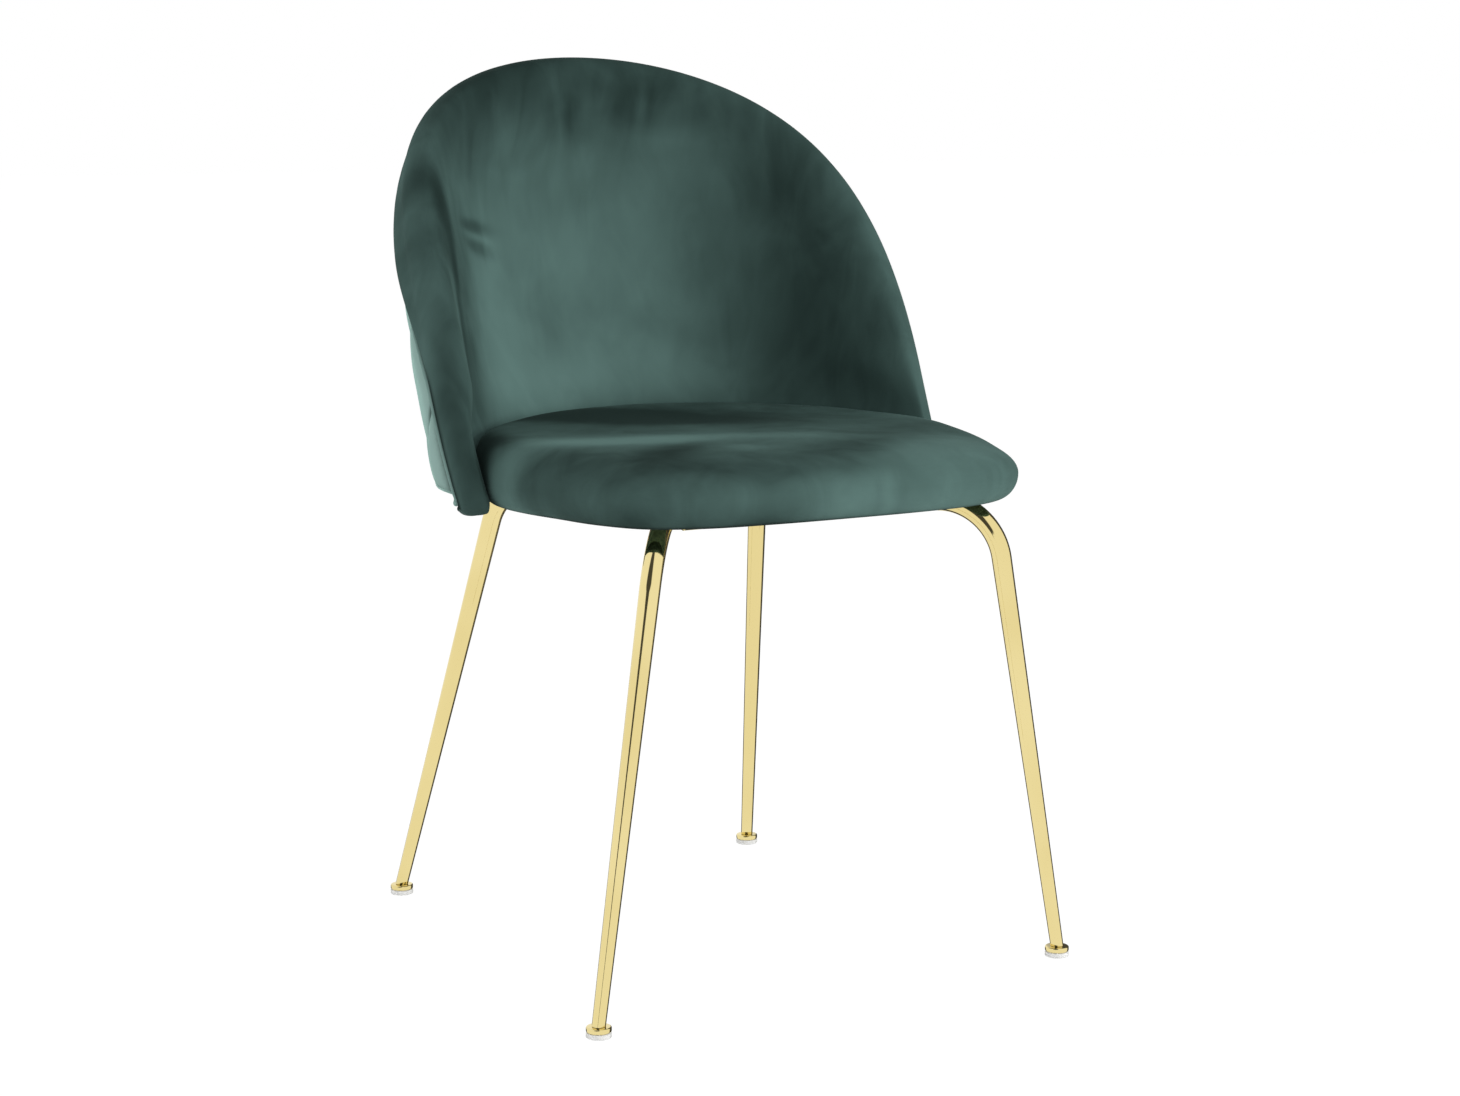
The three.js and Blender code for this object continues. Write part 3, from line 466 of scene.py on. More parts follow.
head_radius = 0.0055
head_height = 0.0032
shank_radius = 0.003
socket_radius = 0.0023
socket_depth = 0.0019
socket_mouth = -0.93 * head_height
head_rim_share = 0.45
tip_bevel = 0.0008


def bolt(name, place, direction, length, node):
    """A bolt whose head bears at a place, with a hexagon socket in its domed head."""
    along = Vector(direction).normalized()
    side = along.orthogonal().normalized()
    sides = 36

    def on_axis(height):
        return Vector(place) + along * height

    def ring(radius, height):
        return tube_ring(on_axis(height), along, side, radius, sides)

    def hexagon(radius, height):
        half_flat = pi / 6
        turns = np.arange(sides) * 2 * pi / sides % (2 * half_flat) - half_flat
        centre = np.array(on_axis(height))
        flats = cos(half_flat) / np.cos(turns)
        return centre + (ring(1, height) - centre) * radius * flats[:, None]

    dome = []
    for t in np.linspace(0, 1.05, 6):
        rise = between(head_rim_share, 1, sin(t))
        dome.append(ring(head_radius * cos(t), -head_height * rise))
    rings = [
        on_axis(socket_depth - head_height),
        hexagon(socket_radius, socket_depth - head_height),
        hexagon(socket_radius, socket_mouth),
        ring(socket_radius * 1.12, socket_mouth),
        *dome[::-1],
        ring(head_radius, 0),
        ring(shank_radius, 0),
        ring(shank_radius, length - tip_bevel),
        ring(shank_radius * 0.75, length),
        on_axis(length),
    ]
    piece(name, *skin(rings), zinc, "zinc_steel", [node], sharp=30)


for node in [n for n in nodes if n.startswith("seat_bolt_")]:
    low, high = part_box(node)
    bearing_at = ((low.x + high.x) / 2, (low.y + high.y) / 2, low.z + head_height)
    length = high.z - low.z - head_height
    bolt(node.replace("bolt", "socket_bolt"), bearing_at, (0, 0, 1), length, node)
for node in [n for n in nodes if "_insert_" in n]:
    refinish(node, zinc)


# The back's shape: an upright part-cylinder whose rear line is swept backwards. Every layer
# is drawn unrolled, by distance along it from its centre line and height, then wrapped on.
back_radius = 0.228
fullest_depth = 0.249
fullest_height = 0.66
sweep_radius = 0.37
back_middle = 0.5
half_arc = 0.318
top_rise = 0.255
wing_drop = 0.092
wing_droop = 0.0215
droop_climb = (0.155, 0.236)
droop_fall = (0.25, 0.318)
droop_fall_share = 0.62
droop_band = (0.015, 0.07)
rear_drop = 0.056
corner_power = 8
outline_places = 7200
way_places = 20
half_thickness = 0.02
ply_half = 0.005
ply_inset = 0.005
loose_gap = 0.0022
piping_radius = 0.0024
piping_gap = 0.0008
piping_proud = 0.0018
seam_side_inset = 0.005
seam_top_inset = 0.055


def ease(x, low, high):
    t = np.clip((x - low) / (high - low), 0, 1)
    return t * t * (3 - 2 * t)


def band(x, width):
    """1 where x is nought, and soon 0 where it is more than a width away."""
    return np.exp(-((x / width) ** 2))


def unit(ways):
    return ways / np.linalg.norm(ways, axis=-1, keepdims=True)


def run_along(steps):
    """The distance run at each end of a chain of steps."""
    return np.concatenate([[0], np.cumsum(np.linalg.norm(steps, axis=1))])


def sampled(at, run, line):
    """Places on a line at distances along it."""
    return np.stack([np.interp(at, run, column) for column in line.T], -1)


def round_ways(line, reach=1):
    """The way along a closed line at each of its places."""
    return np.roll(line, -reach, 0) - np.roll(line, reach, 0)


def rear_line(height):
    return fullest_depth - sweep_radius + np.sqrt(sweep_radius**2 - (height - fullest_height) ** 2)


def back_normal(along, height):
    turn = along / back_radius
    drop = fullest_height - height
    slope = drop / np.sqrt(sweep_radius**2 - drop**2)
    return unit(np.stack([np.sin(turn), np.cos(turn), -slope * np.cos(turn)], -1))


def wrapped(flat, out):
    """Places on the back, from unrolled ones, at a distance out from its middle layer."""
    along, height = flat[:, 0], back_middle + flat[:, 1]
    turn = along / back_radius
    depth = centre_y + rear_line(height) - back_radius + back_radius * np.cos(turn)
    plain = np.stack([back_radius * np.sin(turn), depth, height], -1)
    return plain + back_normal(along, height) * (np.zeros(len(flat)) + out)[:, None]


def outline_reach(angle):
    """How far the unrolled outline, a half ellipse over a bowed lower edge, lies that way."""
    across = np.cos(angle)
    down = np.maximum(-np.sin(angle), 1e-9)
    ellipse = 1 / np.hypot(across / half_arc, np.sin(angle) / top_rise)
    rise = (wing_drop - rear_drop) * (across / half_arc) ** 2
    inside = down**2 - 4 * rise * rear_drop
    bottom = 2 * rear_drop / (down + np.sqrt(np.maximum(inside, 0)))
    both = (ellipse**-corner_power + bottom**-corner_power) ** (-1 / corner_power)
    return np.where((np.sin(angle) >= 0) | (inside <= 0), ellipse, both)


def back_outline(count):
    """Evenly spaced places on the unrolled outline: their angles, points and outward ways."""
    fine = -pi / 2 + 2 * pi * np.arange(outline_places) / outline_places
    spot = np.stack([np.cos(fine), np.sin(fine)], -1) * outline_reach(fine)[:, None]
    side = np.abs(spot[:, 0])
    droop = ease(side, *droop_climb) * (1 - droop_fall_share * ease(side, *droop_fall))
    spot[:, 1] -= wing_droop * droop * ease(-spot[:, 1], *droop_band)
    run = run_along(np.roll(spot, -1, 0) - spot)
    index = np.searchsorted(run, run[-1] * np.arange(count) / count, side="right") - 1
    way = unit(round_ways(spot, way_places))
    outward = np.stack([way[:, 1], -way[:, 0]], -1)
    return fine[index], spot[index], outward[index]


def seam_border(angle):
    """How far the seam runs inside the outline: it is close at the wings and deep on top."""
    climb = np.arctan2(np.sin(angle), np.abs(np.cos(angle)))
    share = np.sin(np.clip(2 * climb, 0, pi / 2))
    return between(seam_side_inset, seam_top_inset, share)


# Velvet: a short, dense pile on a knitted ground, dark where it is seen straight on and pale
# where it is seen along the surface; its faint sheen gives little of that, so much is painted.
# Each mesh's points keep a value that sets the colour, below nought dark and above pale: pile
# that hands and clothes have brushed over, and painted light and shade.
deep_green = (0.008, 0.0165, 0.0145)
pale_green = (0.118, 0.208, 0.19)


def summed_marks(spots, marks):
    """The sum of soft oval marks at places on a surface: pile brushed over, painted light and
    shade, creases.
    """
    lie_and_shade = np.zeros(len(spots))
    for across, up, reach_across, reach_up, turn, strength in marks:
        slant = radians(turn)
        off = spots - np.array([across, up])
        first = (off[:, 0] * cos(slant) + off[:, 1] * sin(slant)) / reach_across
        second = (off[:, 1] * cos(slant) - off[:, 0] * sin(slant)) / reach_up
        lie_and_shade += strength * np.exp(-((first**2 + second**2) ** 1.3))
    return lie_and_shade


def keep_lie_and_shade(made, lie_and_shade):
    """Keep the lie of the pile and the painted light and shade on a mesh's points."""
    layer = made.data.attributes.new("lie_and_shade", "FLOAT", "POINT")
    values = np.zeros(len(made.data.vertices))
    values[: len(lie_and_shade)] = lie_and_shade[: len(values)]
    layer.data.foreach_set("value", values)


def velvet(name, sheen, pale=pale_green):
    made, wire, sockets = shaded(name, {
        "Roughness": 0.9,
        "Specular IOR Level": 0.06,
        "Sheen Weight": sheen,
        "Sheen Roughness": 0.42,
        "Sheen Tint": (0.5, 0.8, 0.72, 1),
    })
    here = wire.place()
    # The stored value carries the brushed pile and the painted light and shade into the colour.
    lie_and_shade = wire.add("Attribute", {"attribute_name": "lie_and_shade"}, {}, out="Fac")
    cloud = wire.noise(here, 8, 3, 0.8)
    drift = wire.noise(wire.place((1, 1, 0.35)), 30, 3, 0.9)
    level = 0.345 + lie_and_shade * 0.42 + (cloud - 0.5) * 0.42 + (drift - 0.5) * 0.22
    colour = level.ease(-0.1, 1.0).blend(deep_green, pale)
    fibre = wire.noise(here, 2600, 1)
    nap = wire.noise(here, 420, 3, 0.8)
    pile = wire.bump(0.22, 0.0006, fibre * 0.5 + nap * 0.5 + drift * 0.7)
    finished(sockets, colour, 0.98 - level.ease(0.2, 0.9) * 0.12, pile)
    return made


velvet_cloth = velvet("green_velvet", 0.035)


# The front pad: foam over the shell's inner face, rolled round its edge and covered in one
# piece of velvet that is pulled to the seam behind. The straps pass through slots below.
pad_places = 400
roll_in = 0.042
roll_power = 2 / 2.15
squeeze = 0.62
pressed_sides = (0.195, 0.275)
pressed_drops = (0.0, 0.05)
wing_fill = 0.005
filled_sides = (0.06, 0.215)
unfilled_sides = (-0.3, -0.225)
filled_rises = (-0.035, 0.03)
unfilled_rises = (-0.19, -0.08)
foam_waver = 0.0014
crease_depth = 0.0016
angles, spots, outwards = back_outline(pad_places)
seam_band = seam_border(angles) - piping_radius - piping_gap
seam_spots = spots - outwards * seam_band[:, None]
spine = wrapped(spots, 0)
spine_normal = back_normal(spots[:, 0], back_middle + spots[:, 1])
spine_way = unit(np.cross(spine_normal, round_ways(spine)))

# Three marks side by side make the leaf-shaped crease at the left; in the colour they are its
# painted shade with a painted highlight on its ridge.
leaf_marks = [
    (-0.158, 0.122, 0.036, 0.007, -9.5, -0.62),
    (-0.158, 0.1125, 0.03, 0.004, -12, 0.22),
    (-0.152, 0.102, 0.033, 0.008, -16, -0.58),
]
# Marks on the pad: the narrow dark and pale pairs on top are the painted shade and highlight of
# small drag folds; the broad ones are painted light and shade, pale over the left and middle and
# dark at the right, along the top and at the left wing.
pile_and_shade_marks = [
    (-0.261, 0.105, 0.017, 0.1, 0, -0.5),
    (-0.31, -0.055, 0.05, 0.05, 0, -0.34),
    (-0.145, 0, 0.05, 0.11, 8, 0.68),
    (-0.07, 0.05, 0.07, 0.12, 0, 0.45),
    (-0.08, -0.04, 0.09, 0.03, 0, 0.3),
    (0.04, 0.06, 0.08, 0.1, 0, 0.62),
    (0.04, -0.025, 0.09, 0.03, 0, 0.45),
    (0.11, 0.19, 0.05, 0.04, 20, 0.25),
    (0.225, 0.05, 0.06, 0.15, -10, -0.32),
    (0.265, -0.02, 0.04, 0.07, 0, -0.08),
    (0.13, 0.235, 0.1, 0.03, -15, -0.15),
    (-0.11, 0.225, 0.08, 0.03, 20, -0.15),
    (0.005, 0.23, 0.07, 0.032, 0, -0.3),
    (-0.024, 0.222, 0.0045, 0.026, 4, 0.17),
    (-0.012, 0.22, 0.0045, 0.024, 4, -0.17),
    (0.066, 0.236, 0.005, 0.018, -3, 0.15),
    (0.076, 0.236, 0.005, 0.018, -3, -0.14),
    *leaf_marks,
    (0.01, 0.15, 0.05, 0.018, 25, -0.14),
    (-0.04, 0.02, 0.022, 0.05, 12, -0.12),
    (0.09, 0.04, 0.03, 0.016, -30, 0.12),
]


def pad_depth(flat):
    """How far inside the middle layer the velvet lies: less where the seat presses the wings."""
    soft = np.array([noise.noise(Vector((a * 9, r * 7, 3.1))) for a, r in flat])
    side = np.abs(flat[:, 0])
    rise = flat[:, 1]
    pressed = ease(side, *pressed_sides) * ease(-rise, *pressed_drops)
    filled = ease(side, *filled_sides) * ease(-side, *unfilled_sides)
    filled = filled * ease(rise, *filled_rises) * ease(-rise, *unfilled_rises)
    creased = crease_depth * summed_marks(flat, leaf_marks)
    depth = half_thickness * (1 - squeeze * pressed) - foam_waver * soft
    return depth + creased + wing_fill * filled


# All rings shrink towards the heart. The inward ways are evened out, so that they don't cross.
heart = np.array([[0, 0.09]])
neighbours = range(-12, 13)
inwards = unit(-np.mean([np.roll(outwards, k, 0) for k in neighbours], 0))
roll_start = spots + inwards * roll_in
# The roll is drawn tighter under the wings' ends.
taut_share = 0.48
under_wing = ease(-outwards[:, 1], -0.5, 1.0) * ease(np.abs(spots[:, 0]), 0.13, 0.25)
taut = 1 - taut_share * under_wing

# Painted shade on the roll: on the left a dark line round it, and elsewhere all over it.
roll_darkness = 0.2 - 0.26 * spots[:, 0] / half_arc
left_side = ease(-spots[:, 0], 0.1, 0.27)
line_place = 0.006 - 0.02 * ease(spots[:, 1], -0.02, 0.11)
line_width = 0.017
line_darkness = 0.85
beside_line = 0.42
elsewhere = 1.35
# Painted shade along the seam, where the velvet is pulled into it.
seam_darkness = 1.3
seam_shade_width = 0.004
rear_lie = 0.15
edge_puff = 0.0075
seam_dip = 0.003
rear_rise = 0.0008


def roll_shade(past_line, pale, dark):
    """How much painted shade darkens the roll, a distance past the dark line."""
    left = line_darkness * band(past_line, line_width) - beside_line * pale
    return roll_darkness * (left_side * left + (1 - left_side) * elsewhere * dark)


rings = [wrapped(heart, -pad_depth(heart))]
lie_and_shade_rings = [summed_marks(heart, pile_and_shade_marks)]
for share in np.linspace(0, 1, 84)[1:]:
    flat = between(heart, roll_start, share)
    rings.append(wrapped(flat, -pad_depth(flat)))
    lie_and_shade_rings.append(summed_marks(flat, pile_and_shade_marks))
for angle in np.linspace(0, pi / 2, 22)[1:]:
    forward = (roll_in + half_thickness) * sin(angle) ** roll_power - roll_in
    flat = spots - (inwards if forward < 0 else -outwards) * forward
    out = -pad_depth(flat) * max(cos(angle), 0) ** roll_power
    if forward < 0:
        rings.append(wrapped(flat, out))
    else:
        rings.append(spine + spine_way * (forward * taut)[:, None] + spine_normal * out[:, None])
    past_edge = hypot(half_thickness - forward, half_thickness * cos(angle))
    turned_over = sin(angle) ** 2
    shade = roll_shade(past_edge + line_place, turned_over, turned_over)
    lie_and_shade_rings.append(summed_marks(flat, pile_and_shade_marks) - shade)
for angle in np.linspace(0, pi / 2, 11)[1:-1]:
    forward = half_thickness * cos(angle)
    back = half_thickness * sin(angle)
    rings.append(spine + spine_way * (forward * taut)[:, None] + spine_normal * back)
    to_seam = seam_band + half_thickness * (pi / 2 - angle)
    shade = roll_shade(half_thickness * angle - line_place, 1, cos(angle))
    marks_here = summed_marks(spots + outwards * forward, pile_and_shade_marks) * cos(angle)
    lie_and_shade_rings.append(marks_here - shade - seam_darkness * band(to_seam, seam_shade_width))
# The band out to the seam, with painted shade right at the seam.
for share in np.linspace(0, 1, 12):
    flat = between(spots, seam_spots, share)
    puff = edge_puff * sin(pi * share) * ease(seam_border(angles), 0.008, 0.04)
    rings.append(wrapped(flat, half_thickness + rear_rise + puff - seam_dip * share**6))
    lie_and_shade_rings.append(rear_lie - seam_darkness * band(seam_band * (1 - share), seam_shade_width))
pad_rear = ply_half + loose_gap
edge_spots = spots - outwards * (ply_inset - seat_gap)
ply_face = ply_half + seat_gap
for share in (0, 0.5, 1):
    rings.append(wrapped(between(seam_spots, edge_spots, share), pad_rear))
for share in np.linspace(1, 0, 16)[:-1]:
    rings.append(wrapped(between(heart, edge_spots, share), -ply_face))
rings.append(wrapped(heart, -ply_face))
pad_nodes = ["back_front_cover", "back_front_foam"]
front_pad = piece("front_pad", *skin(rings), velvet_cloth, "velvet", pad_nodes, sharp=70)
keep_lie_and_shade(front_pad, np.concatenate(lie_and_shade_rings))


# Back bolts: short bolts that clamp each strap to the shell through the pad's lower edge.
strap_turn = radians(42)
bolt_height = 0.473
for hand, side in strap_sides.items():
    node = f"back_bolt_{hand}"
    direction = Vector(back_normal(side * strap_turn * back_radius, bolt_height))
    places = np.array([v.co for v in nodes[node].data.vertices])
    reach = places @ np.array(direction)
    head_spot = places[reach < reach.min() + 1e-4].mean(0)
    bearing_at = Vector(head_spot) + direction * head_height
    length = reach.max() - reach.min() - head_height
    bolt(f"back_socket_bolt_{hand}", bearing_at, direction, length, node)


# Slots in the pad for the straps and their bolts, a little larger than the steel. The foam is
# moulded with them, and the velvet is turned in at their edges.
slot_room = 0.0008


def joined_corners(node, reach):
    """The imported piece's mesh, with its faces joined where their corners meet."""
    shape = bmesh.new()
    shape.from_mesh(nodes[node].data)
    bmesh.ops.remove_doubles(shape, verts=shape.verts, dist=reach)
    shape.normal_update()
    return shape


def combined(target, others, operation, solver):
    """The target's mesh with the others added to it or cut out of it, as a new mesh."""
    held = bpy.data.collections.new("held")
    for other in others:
        held.objects.link(other)
    change = target.modifiers.new("change", "BOOLEAN")
    change.operation = operation
    change.operand_type = "COLLECTION"
    change.collection = held
    change.solver = solver
    made = target.evaluated_get(bpy.context.evaluated_depsgraph_get())
    result = bpy.data.meshes.new_from_object(made)
    target.modifiers.clear()
    for other in others:
        bpy.data.objects.remove(other)
    bpy.data.collections.remove(held)
    return result


slots = []
for hand in strap_sides:
    pair = []
    for kind in ("strap", "bolt"):
        grown = joined_corners(f"back_{kind}_{hand}", 1e-5)
        ways = [v.normal.copy() for v in grown.verts]
        for vertex, way in zip(grown.verts, ways):
            vertex.co += way * slot_room
        cutter_mesh = bpy.data.meshes.new("slot")
        grown.to_mesh(cutter_mesh)
        grown.free()
        pair.append(bpy.data.objects.new("slot", cutter_mesh))
    scene.collection.objects.link(pair[0])
    pair[0].data = combined(pair[0], pair[1:], "UNION", "EXACT")
    scene.collection.objects.unlink(pair[0])
    slots.append(pair[0])
front_pad.data = combined(front_pad, slots, "DIFFERENCE", "FAST")


# The shell: moulded birch plywood, sanded, hidden between the pad and the outer panel.
ply, wire, sockets = shaded("birch_plywood", {})
grain = wire.noise(wire.place((1, 1, 0.06)), 120, 4, 0.8)
rays = wire.noise(wire.place((4, 4, 0.4)), 300, 2)
tone = (grain * 0.8 + rays * 0.2).ease(0.3, 0.75)
colour = tone.blend((0.46, 0.27, 0.12), (0.66, 0.44, 0.23))
finished(sockets, colour, 0.5 + grain * 0.25, wire.bump(0.2, 0.0003, grain))
for node in ("back_plywood_shell", "seat_board"):
    refinish(node, ply)


# The outer panel: velvet quilted to wadding in plain diamonds, sewn to the pad at the seam.
# Between its stitch lines it swells, and at the seam it is pulled flat.
diamond_width = 0.09
diamond_height = 0.12
puff_height = 0.0062
low_swell = 0.0092
stitch_rise = 0.0015
rim_tuck = 0.0045
cells = 24
diamonds_out = 16
panel_edge = 300
grid_clearance = 0.0016
panel_angles, panel_spots, panel_outwards = back_outline(panel_edge)
rim_inset = seam_border(panel_angles) + piping_radius + piping_gap
rim = panel_spots - panel_outwards * rim_inset[:, None]
rim_fine = np.concatenate([between(rim, np.roll(rim, -1, 0), t) for t in (0, 0.5)])


def within(places, border):
    """Which places lie inside a closed border."""
    inside = np.zeros(len(places), bool)
    for (x0, y0), (x1, y1) in zip(border, np.roll(border, -1, 0)):
        crosses = (y0 > places[:, 1]) != (y1 > places[:, 1])
        at = x0 + (places[:, 1] - y0) * (x1 - x0) / (y1 - y0 if y1 != y0 else 1e-12)
        inside ^= crosses & (places[:, 0] < at)
    return inside


def from_border(places, border):
    """How far each place is from the nearest of the border's."""
    return np.array([np.hypot(*(border - p).T).min() for p in places])


steps = np.arange(-diamonds_out * cells, diamonds_out * cells + 1)
first, second = np.meshgrid(steps, steps)
first, second = first.ravel() / cells, second.ravel() / cells
grid = np.stack([(first + second) / 2 * diamond_width, (first - second) / 2 * diamond_height], -1)
near = (np.abs(grid[:, 0]) < half_arc) & (grid[:, 1] > -wing_drop) & (grid[:, 1] < top_rise)
grid = grid[near]
grid = grid[within(grid, rim)]
grid = grid[from_border(grid, rim_fine) > grid_clearance]
flat_points = [Vector(p) for p in np.concatenate([rim, grid])]
rim_edges = [(i, (i + 1) % panel_edge) for i in range(panel_edge)]
flat_points, _, flat_faces, *_ = delaunay_2d_cdt(flat_points, rim_edges, [], 1, 1e-7)
flat_points = np.array(flat_points)


def quilt(places):
    """Share of the full swell at unrolled places, 0 on the stitch lines and 1 between them."""
    swell = 1.0
    for sign in (1, -1):
        lines = places[:, 0] / diamond_width + sign * places[:, 1] / diamond_height
        away = np.abs((lines % 1) - 0.5) * 2
        swell = swell * (1 - (1 - away) ** 2.2) ** 0.62
    return swell


depth_in = from_border(flat_points, rim_fine)
panel_base = half_thickness - piping_radius + 0.0004
swell = quilt(flat_points)
fullness = ease(depth_in, 0, 0.016)
turn_down = np.clip(1 - depth_in / 0.005, 0, 1)
low_fill = ease(-flat_points[:, 1], 0.0, 0.085) * ease(np.abs(flat_points[:, 0]), 0.12, 0.22)
panel_out = panel_base + (stitch_rise + puff_height * swell) * fullness
panel_out += low_swell * low_fill * ease(depth_in, 0, 0.013) - rim_tuck * turn_down**2.2
outer = wrapped(flat_points, panel_out)
order = [int(np.argmin(np.hypot(*(flat_points - p).T))) for p in rim]
start = len(outer)
inner_rings = [wrapped(between(heart, rim, share), pad_rear) for share in (1, 0.75, 0.5, 0.25)]
inner_rings.append(wrapped(heart, pad_rear))
inner_points, inner_faces = skin(inner_rings)
panel_faces = [tuple(face) for face in flat_faces]
panel_faces += [tuple(start + i for i in face) for face in inner_faces]
for i in range(panel_edge):
    j = (i + 1) % panel_edge
    panel_faces.append((order[i], start + i, start + j, order[j]))

# The panel's velvet is the pad's cloth painted paler, standing in for the light its side catches.
quilted = velvet("quilted_velvet", 0.8, (0.26, 0.385, 0.355))
panel_points = np.concatenate([outer, inner_points])
panel_shape = (panel_points, panel_faces)
quilted_panel = piece("quilted_panel", *panel_shape, quilted, "velvet", ["back_quilted_panel"], 75)
face_out(quilted_panel.data, recalculate=True)
# Marks on the panel: a painted highlight over its left side, and faint brushed pile elsewhere.
panel_pile_and_light_marks = [
    (-0.29, 0, 0.07, 0.16, 0, 1.45),
    (0.15, 0.06, 0.06, 0.09, 15, 0.18),
    (-0.06, 0.02, 0.08, 0.05, -10, -0.15),
    (0.03, 0.12, 0.07, 0.05, 0, 0.16),
]
# Painted shade in the stitch valleys and at the rim by the seam, and paler painted swells between
# them.
crease_shade = band(swell, 0.22) * ease(depth_in, 0.002, 0.006)
rim_shade = band(depth_in, 0.0045)
panel_lie_and_shade = summed_marks(flat_points, panel_pile_and_light_marks) * (1 - 0.85 * crease_shade) * (1 - rim_shade)
keep_lie_and_shade(quilted_panel, panel_lie_and_shade + 0.25 * swell - 0.8 * crease_shade - 1.2 * rim_shade - 0.12)


# The seam: velvet piping, laid between the pad and the panel and sewn down along both sides.
# Its cloth is painted paler than the pad's, a painted highlight on the round piping.
trim = velvet("velvet_piping", 0.6, (0.19, 0.3, 0.275))
seam_places = 520
seam_angles, seam_at, seam_out = back_outline(seam_places)
seam_line = seam_at - seam_out * seam_border(seam_angles)[:, None]
loop = wrapped(seam_line, panel_base + piping_proud)
loop_normal = back_normal(seam_line[:, 0], back_middle + seam_line[:, 1])
loop_across = unit(np.cross(round_ways(loop), loop_normal))
piping_sides = 16
# A painted highlight along the piping's whole length.
piping_highlight = 0.8
# The piping swells a little between its own stitches.
rib_share = 0.05
rib_places = 3.25
rings = []
one, other = circle(piping_sides)
for k in range(seam_places):
    radius = piping_radius * (1 + rib_share * sin(k * 2 * pi / rib_places))
    rings.append(loop[k] + radius * (one * loop_across[k] + other * loop_normal[k]))
piping = piece("seam_piping", *skin(rings, loop=True), trim, "velvet_trim", ["back_piping"])
keep_lie_and_shade(piping, np.full(seam_places * piping_sides, piping_highlight))


# Thread: bonded polyester, two strands twisted, in short stitches that sink into the velvet
# at both ends. It holds the quilting lines, and runs along the panel's side of the piping.
thread, wire, sockets = shaded("green_thread", {"Sheen Weight": 0.2, "Sheen Roughness": 0.4})
twist = wire.noise(wire.place(), 1800, 2)
colour = twist.ease(0.3, 0.7).blend((0.008, 0.018, 0.016), (0.022, 0.042, 0.038))
finished(sockets, colour, 0.5 + twist * 0.2, wire.bump(0.5, 0.0002, twist))

stitch_pitch = 0.0046
thread_radius = 0.00042
thread_sides = 6
stitch_stations = np.array([-0.4, -0.3, 0.0, 0.3, 0.4])
stitch_girths = np.array([0.25, 0.85, 1.0, 0.85, 0.25])
stitch_lifts = np.array([-0.9, 0.1, 0.6, 0.1, -0.9])
stitch_points = thread_sides * len(stitch_stations)
_, stitch_faces = skin([np.zeros((thread_sides, 3))] * len(stitch_stations))
stitch_faces.append(tuple(range(thread_sides))[::-1])
stitch_faces.append(tuple(range(stitch_points - thread_sides, stitch_points)))


def sewn(flat, out):
    """The points of a row of stitches along an unrolled line on the back."""
    line = wrapped(flat, out)
    normals = back_normal(flat[:, 0], back_middle + flat[:, 1])
    run = run_along(np.diff(line, axis=0))
    count = int(run[-1] / stitch_pitch)
    centres = (np.arange(count) + 0.5) * stitch_pitch
    at = centres[:, None] + stitch_stations * stitch_pitch
    place = sampled(at, run, line)
    normal = sampled(at, run, normals)
    across = np.cross(sampled(at + 5e-4, run, line) - place, normal)
    across /= np.linalg.norm(across, axis=-1, keepdims=True) + 1e-12
    place += normal * (stitch_lifts * thread_radius)[:, None]
    one, other = circle(thread_sides)
    ring = one * across[:, :, None] + other * normal[:, :, None]
    girth = (stitch_girths * thread_radius)[:, None, None]
    return (place[:, :, None] + ring * girth).reshape(-1, 3)


def thread_rows(name, lines, out):
    """One piece of thread trim, from rows of stitches along unrolled lines."""
    points = np.concatenate([sewn(flat, out) for flat in lines])
    starts = range(0, len(points), stitch_points)
    faces = [tuple(start + i for i in face) for start in starts for face in stitch_faces]
    piece(name, points, faces, thread, "velvet_trim")


quilting_rise = 0.002 + 0.4 * thread_radius
seam_row_inset = 0.008
seam_row_rise = 0.0004 + 0.3 * thread_radius
line_step = 0.001
least_steps = 20
rim_clearance = 0.007
lines = []
for sign in (1, -1):
    for start in np.arange(-diamonds_out, diamonds_out) + 0.5:
        rise = np.arange(-wing_drop, top_rise, line_step)
        flat = np.stack([(start - sign * rise / diamond_height) * diamond_width, rise], -1)
        flat = flat[within(flat, rim)]
        flat = flat[from_border(flat, rim_fine) > rim_clearance]
        if len(flat) > least_steps:
            lines.append(flat)
thread_rows("quilting_thread", lines, panel_base + quilting_rise)

beside_seam = seam_line - seam_out * seam_row_inset
beside_seam = np.concatenate([beside_seam, beside_seam[:1]])
thread_rows("seam_thread", [beside_seam], panel_base + seam_row_rise)


# The seat: moulded foam on a plywood board under one piece of velvet, which is drawn over the
# crown, rolled under the edge and stapled to the board's underside.
seat_half_width = 0.214
seat_front = -0.2635
seat_back = 0.143
seat_outline_shares = [
    (0, 0), (0.346, 0.004), (0.645, 0.026), (0.848, 0.087), (0.951, 0.206), (0.995, 0.353),
    (1.022, 0.464), (1.022, 0.574), (0.99, 0.656), (0.888, 0.766), (0.668, 0.87), (0.376, 0.956),
]
edge_height = 0.422
seat_middle = -0.06
seat_pitch = tan(radians(1.2))
crown = 0.037
rear_fill = 0.006
front_power = 5
rear_power = 20
rear_lean = 0.5
sat_on_dip = 0.0012
sat_on_waver = 0.0016
hem_bottom = 0.4126
hem_top = 0.4142
board_top = 0.4265
front_roll = 0.023
rear_roll = 0.005
# Shares of the outline where the roll ends, the tuck ends, the board starts and the hem lies.
roll_share = 0.915
tuck_share = 0.875
board_share = 0.845
hem_share = 0.81
hem_end_share = 0.78


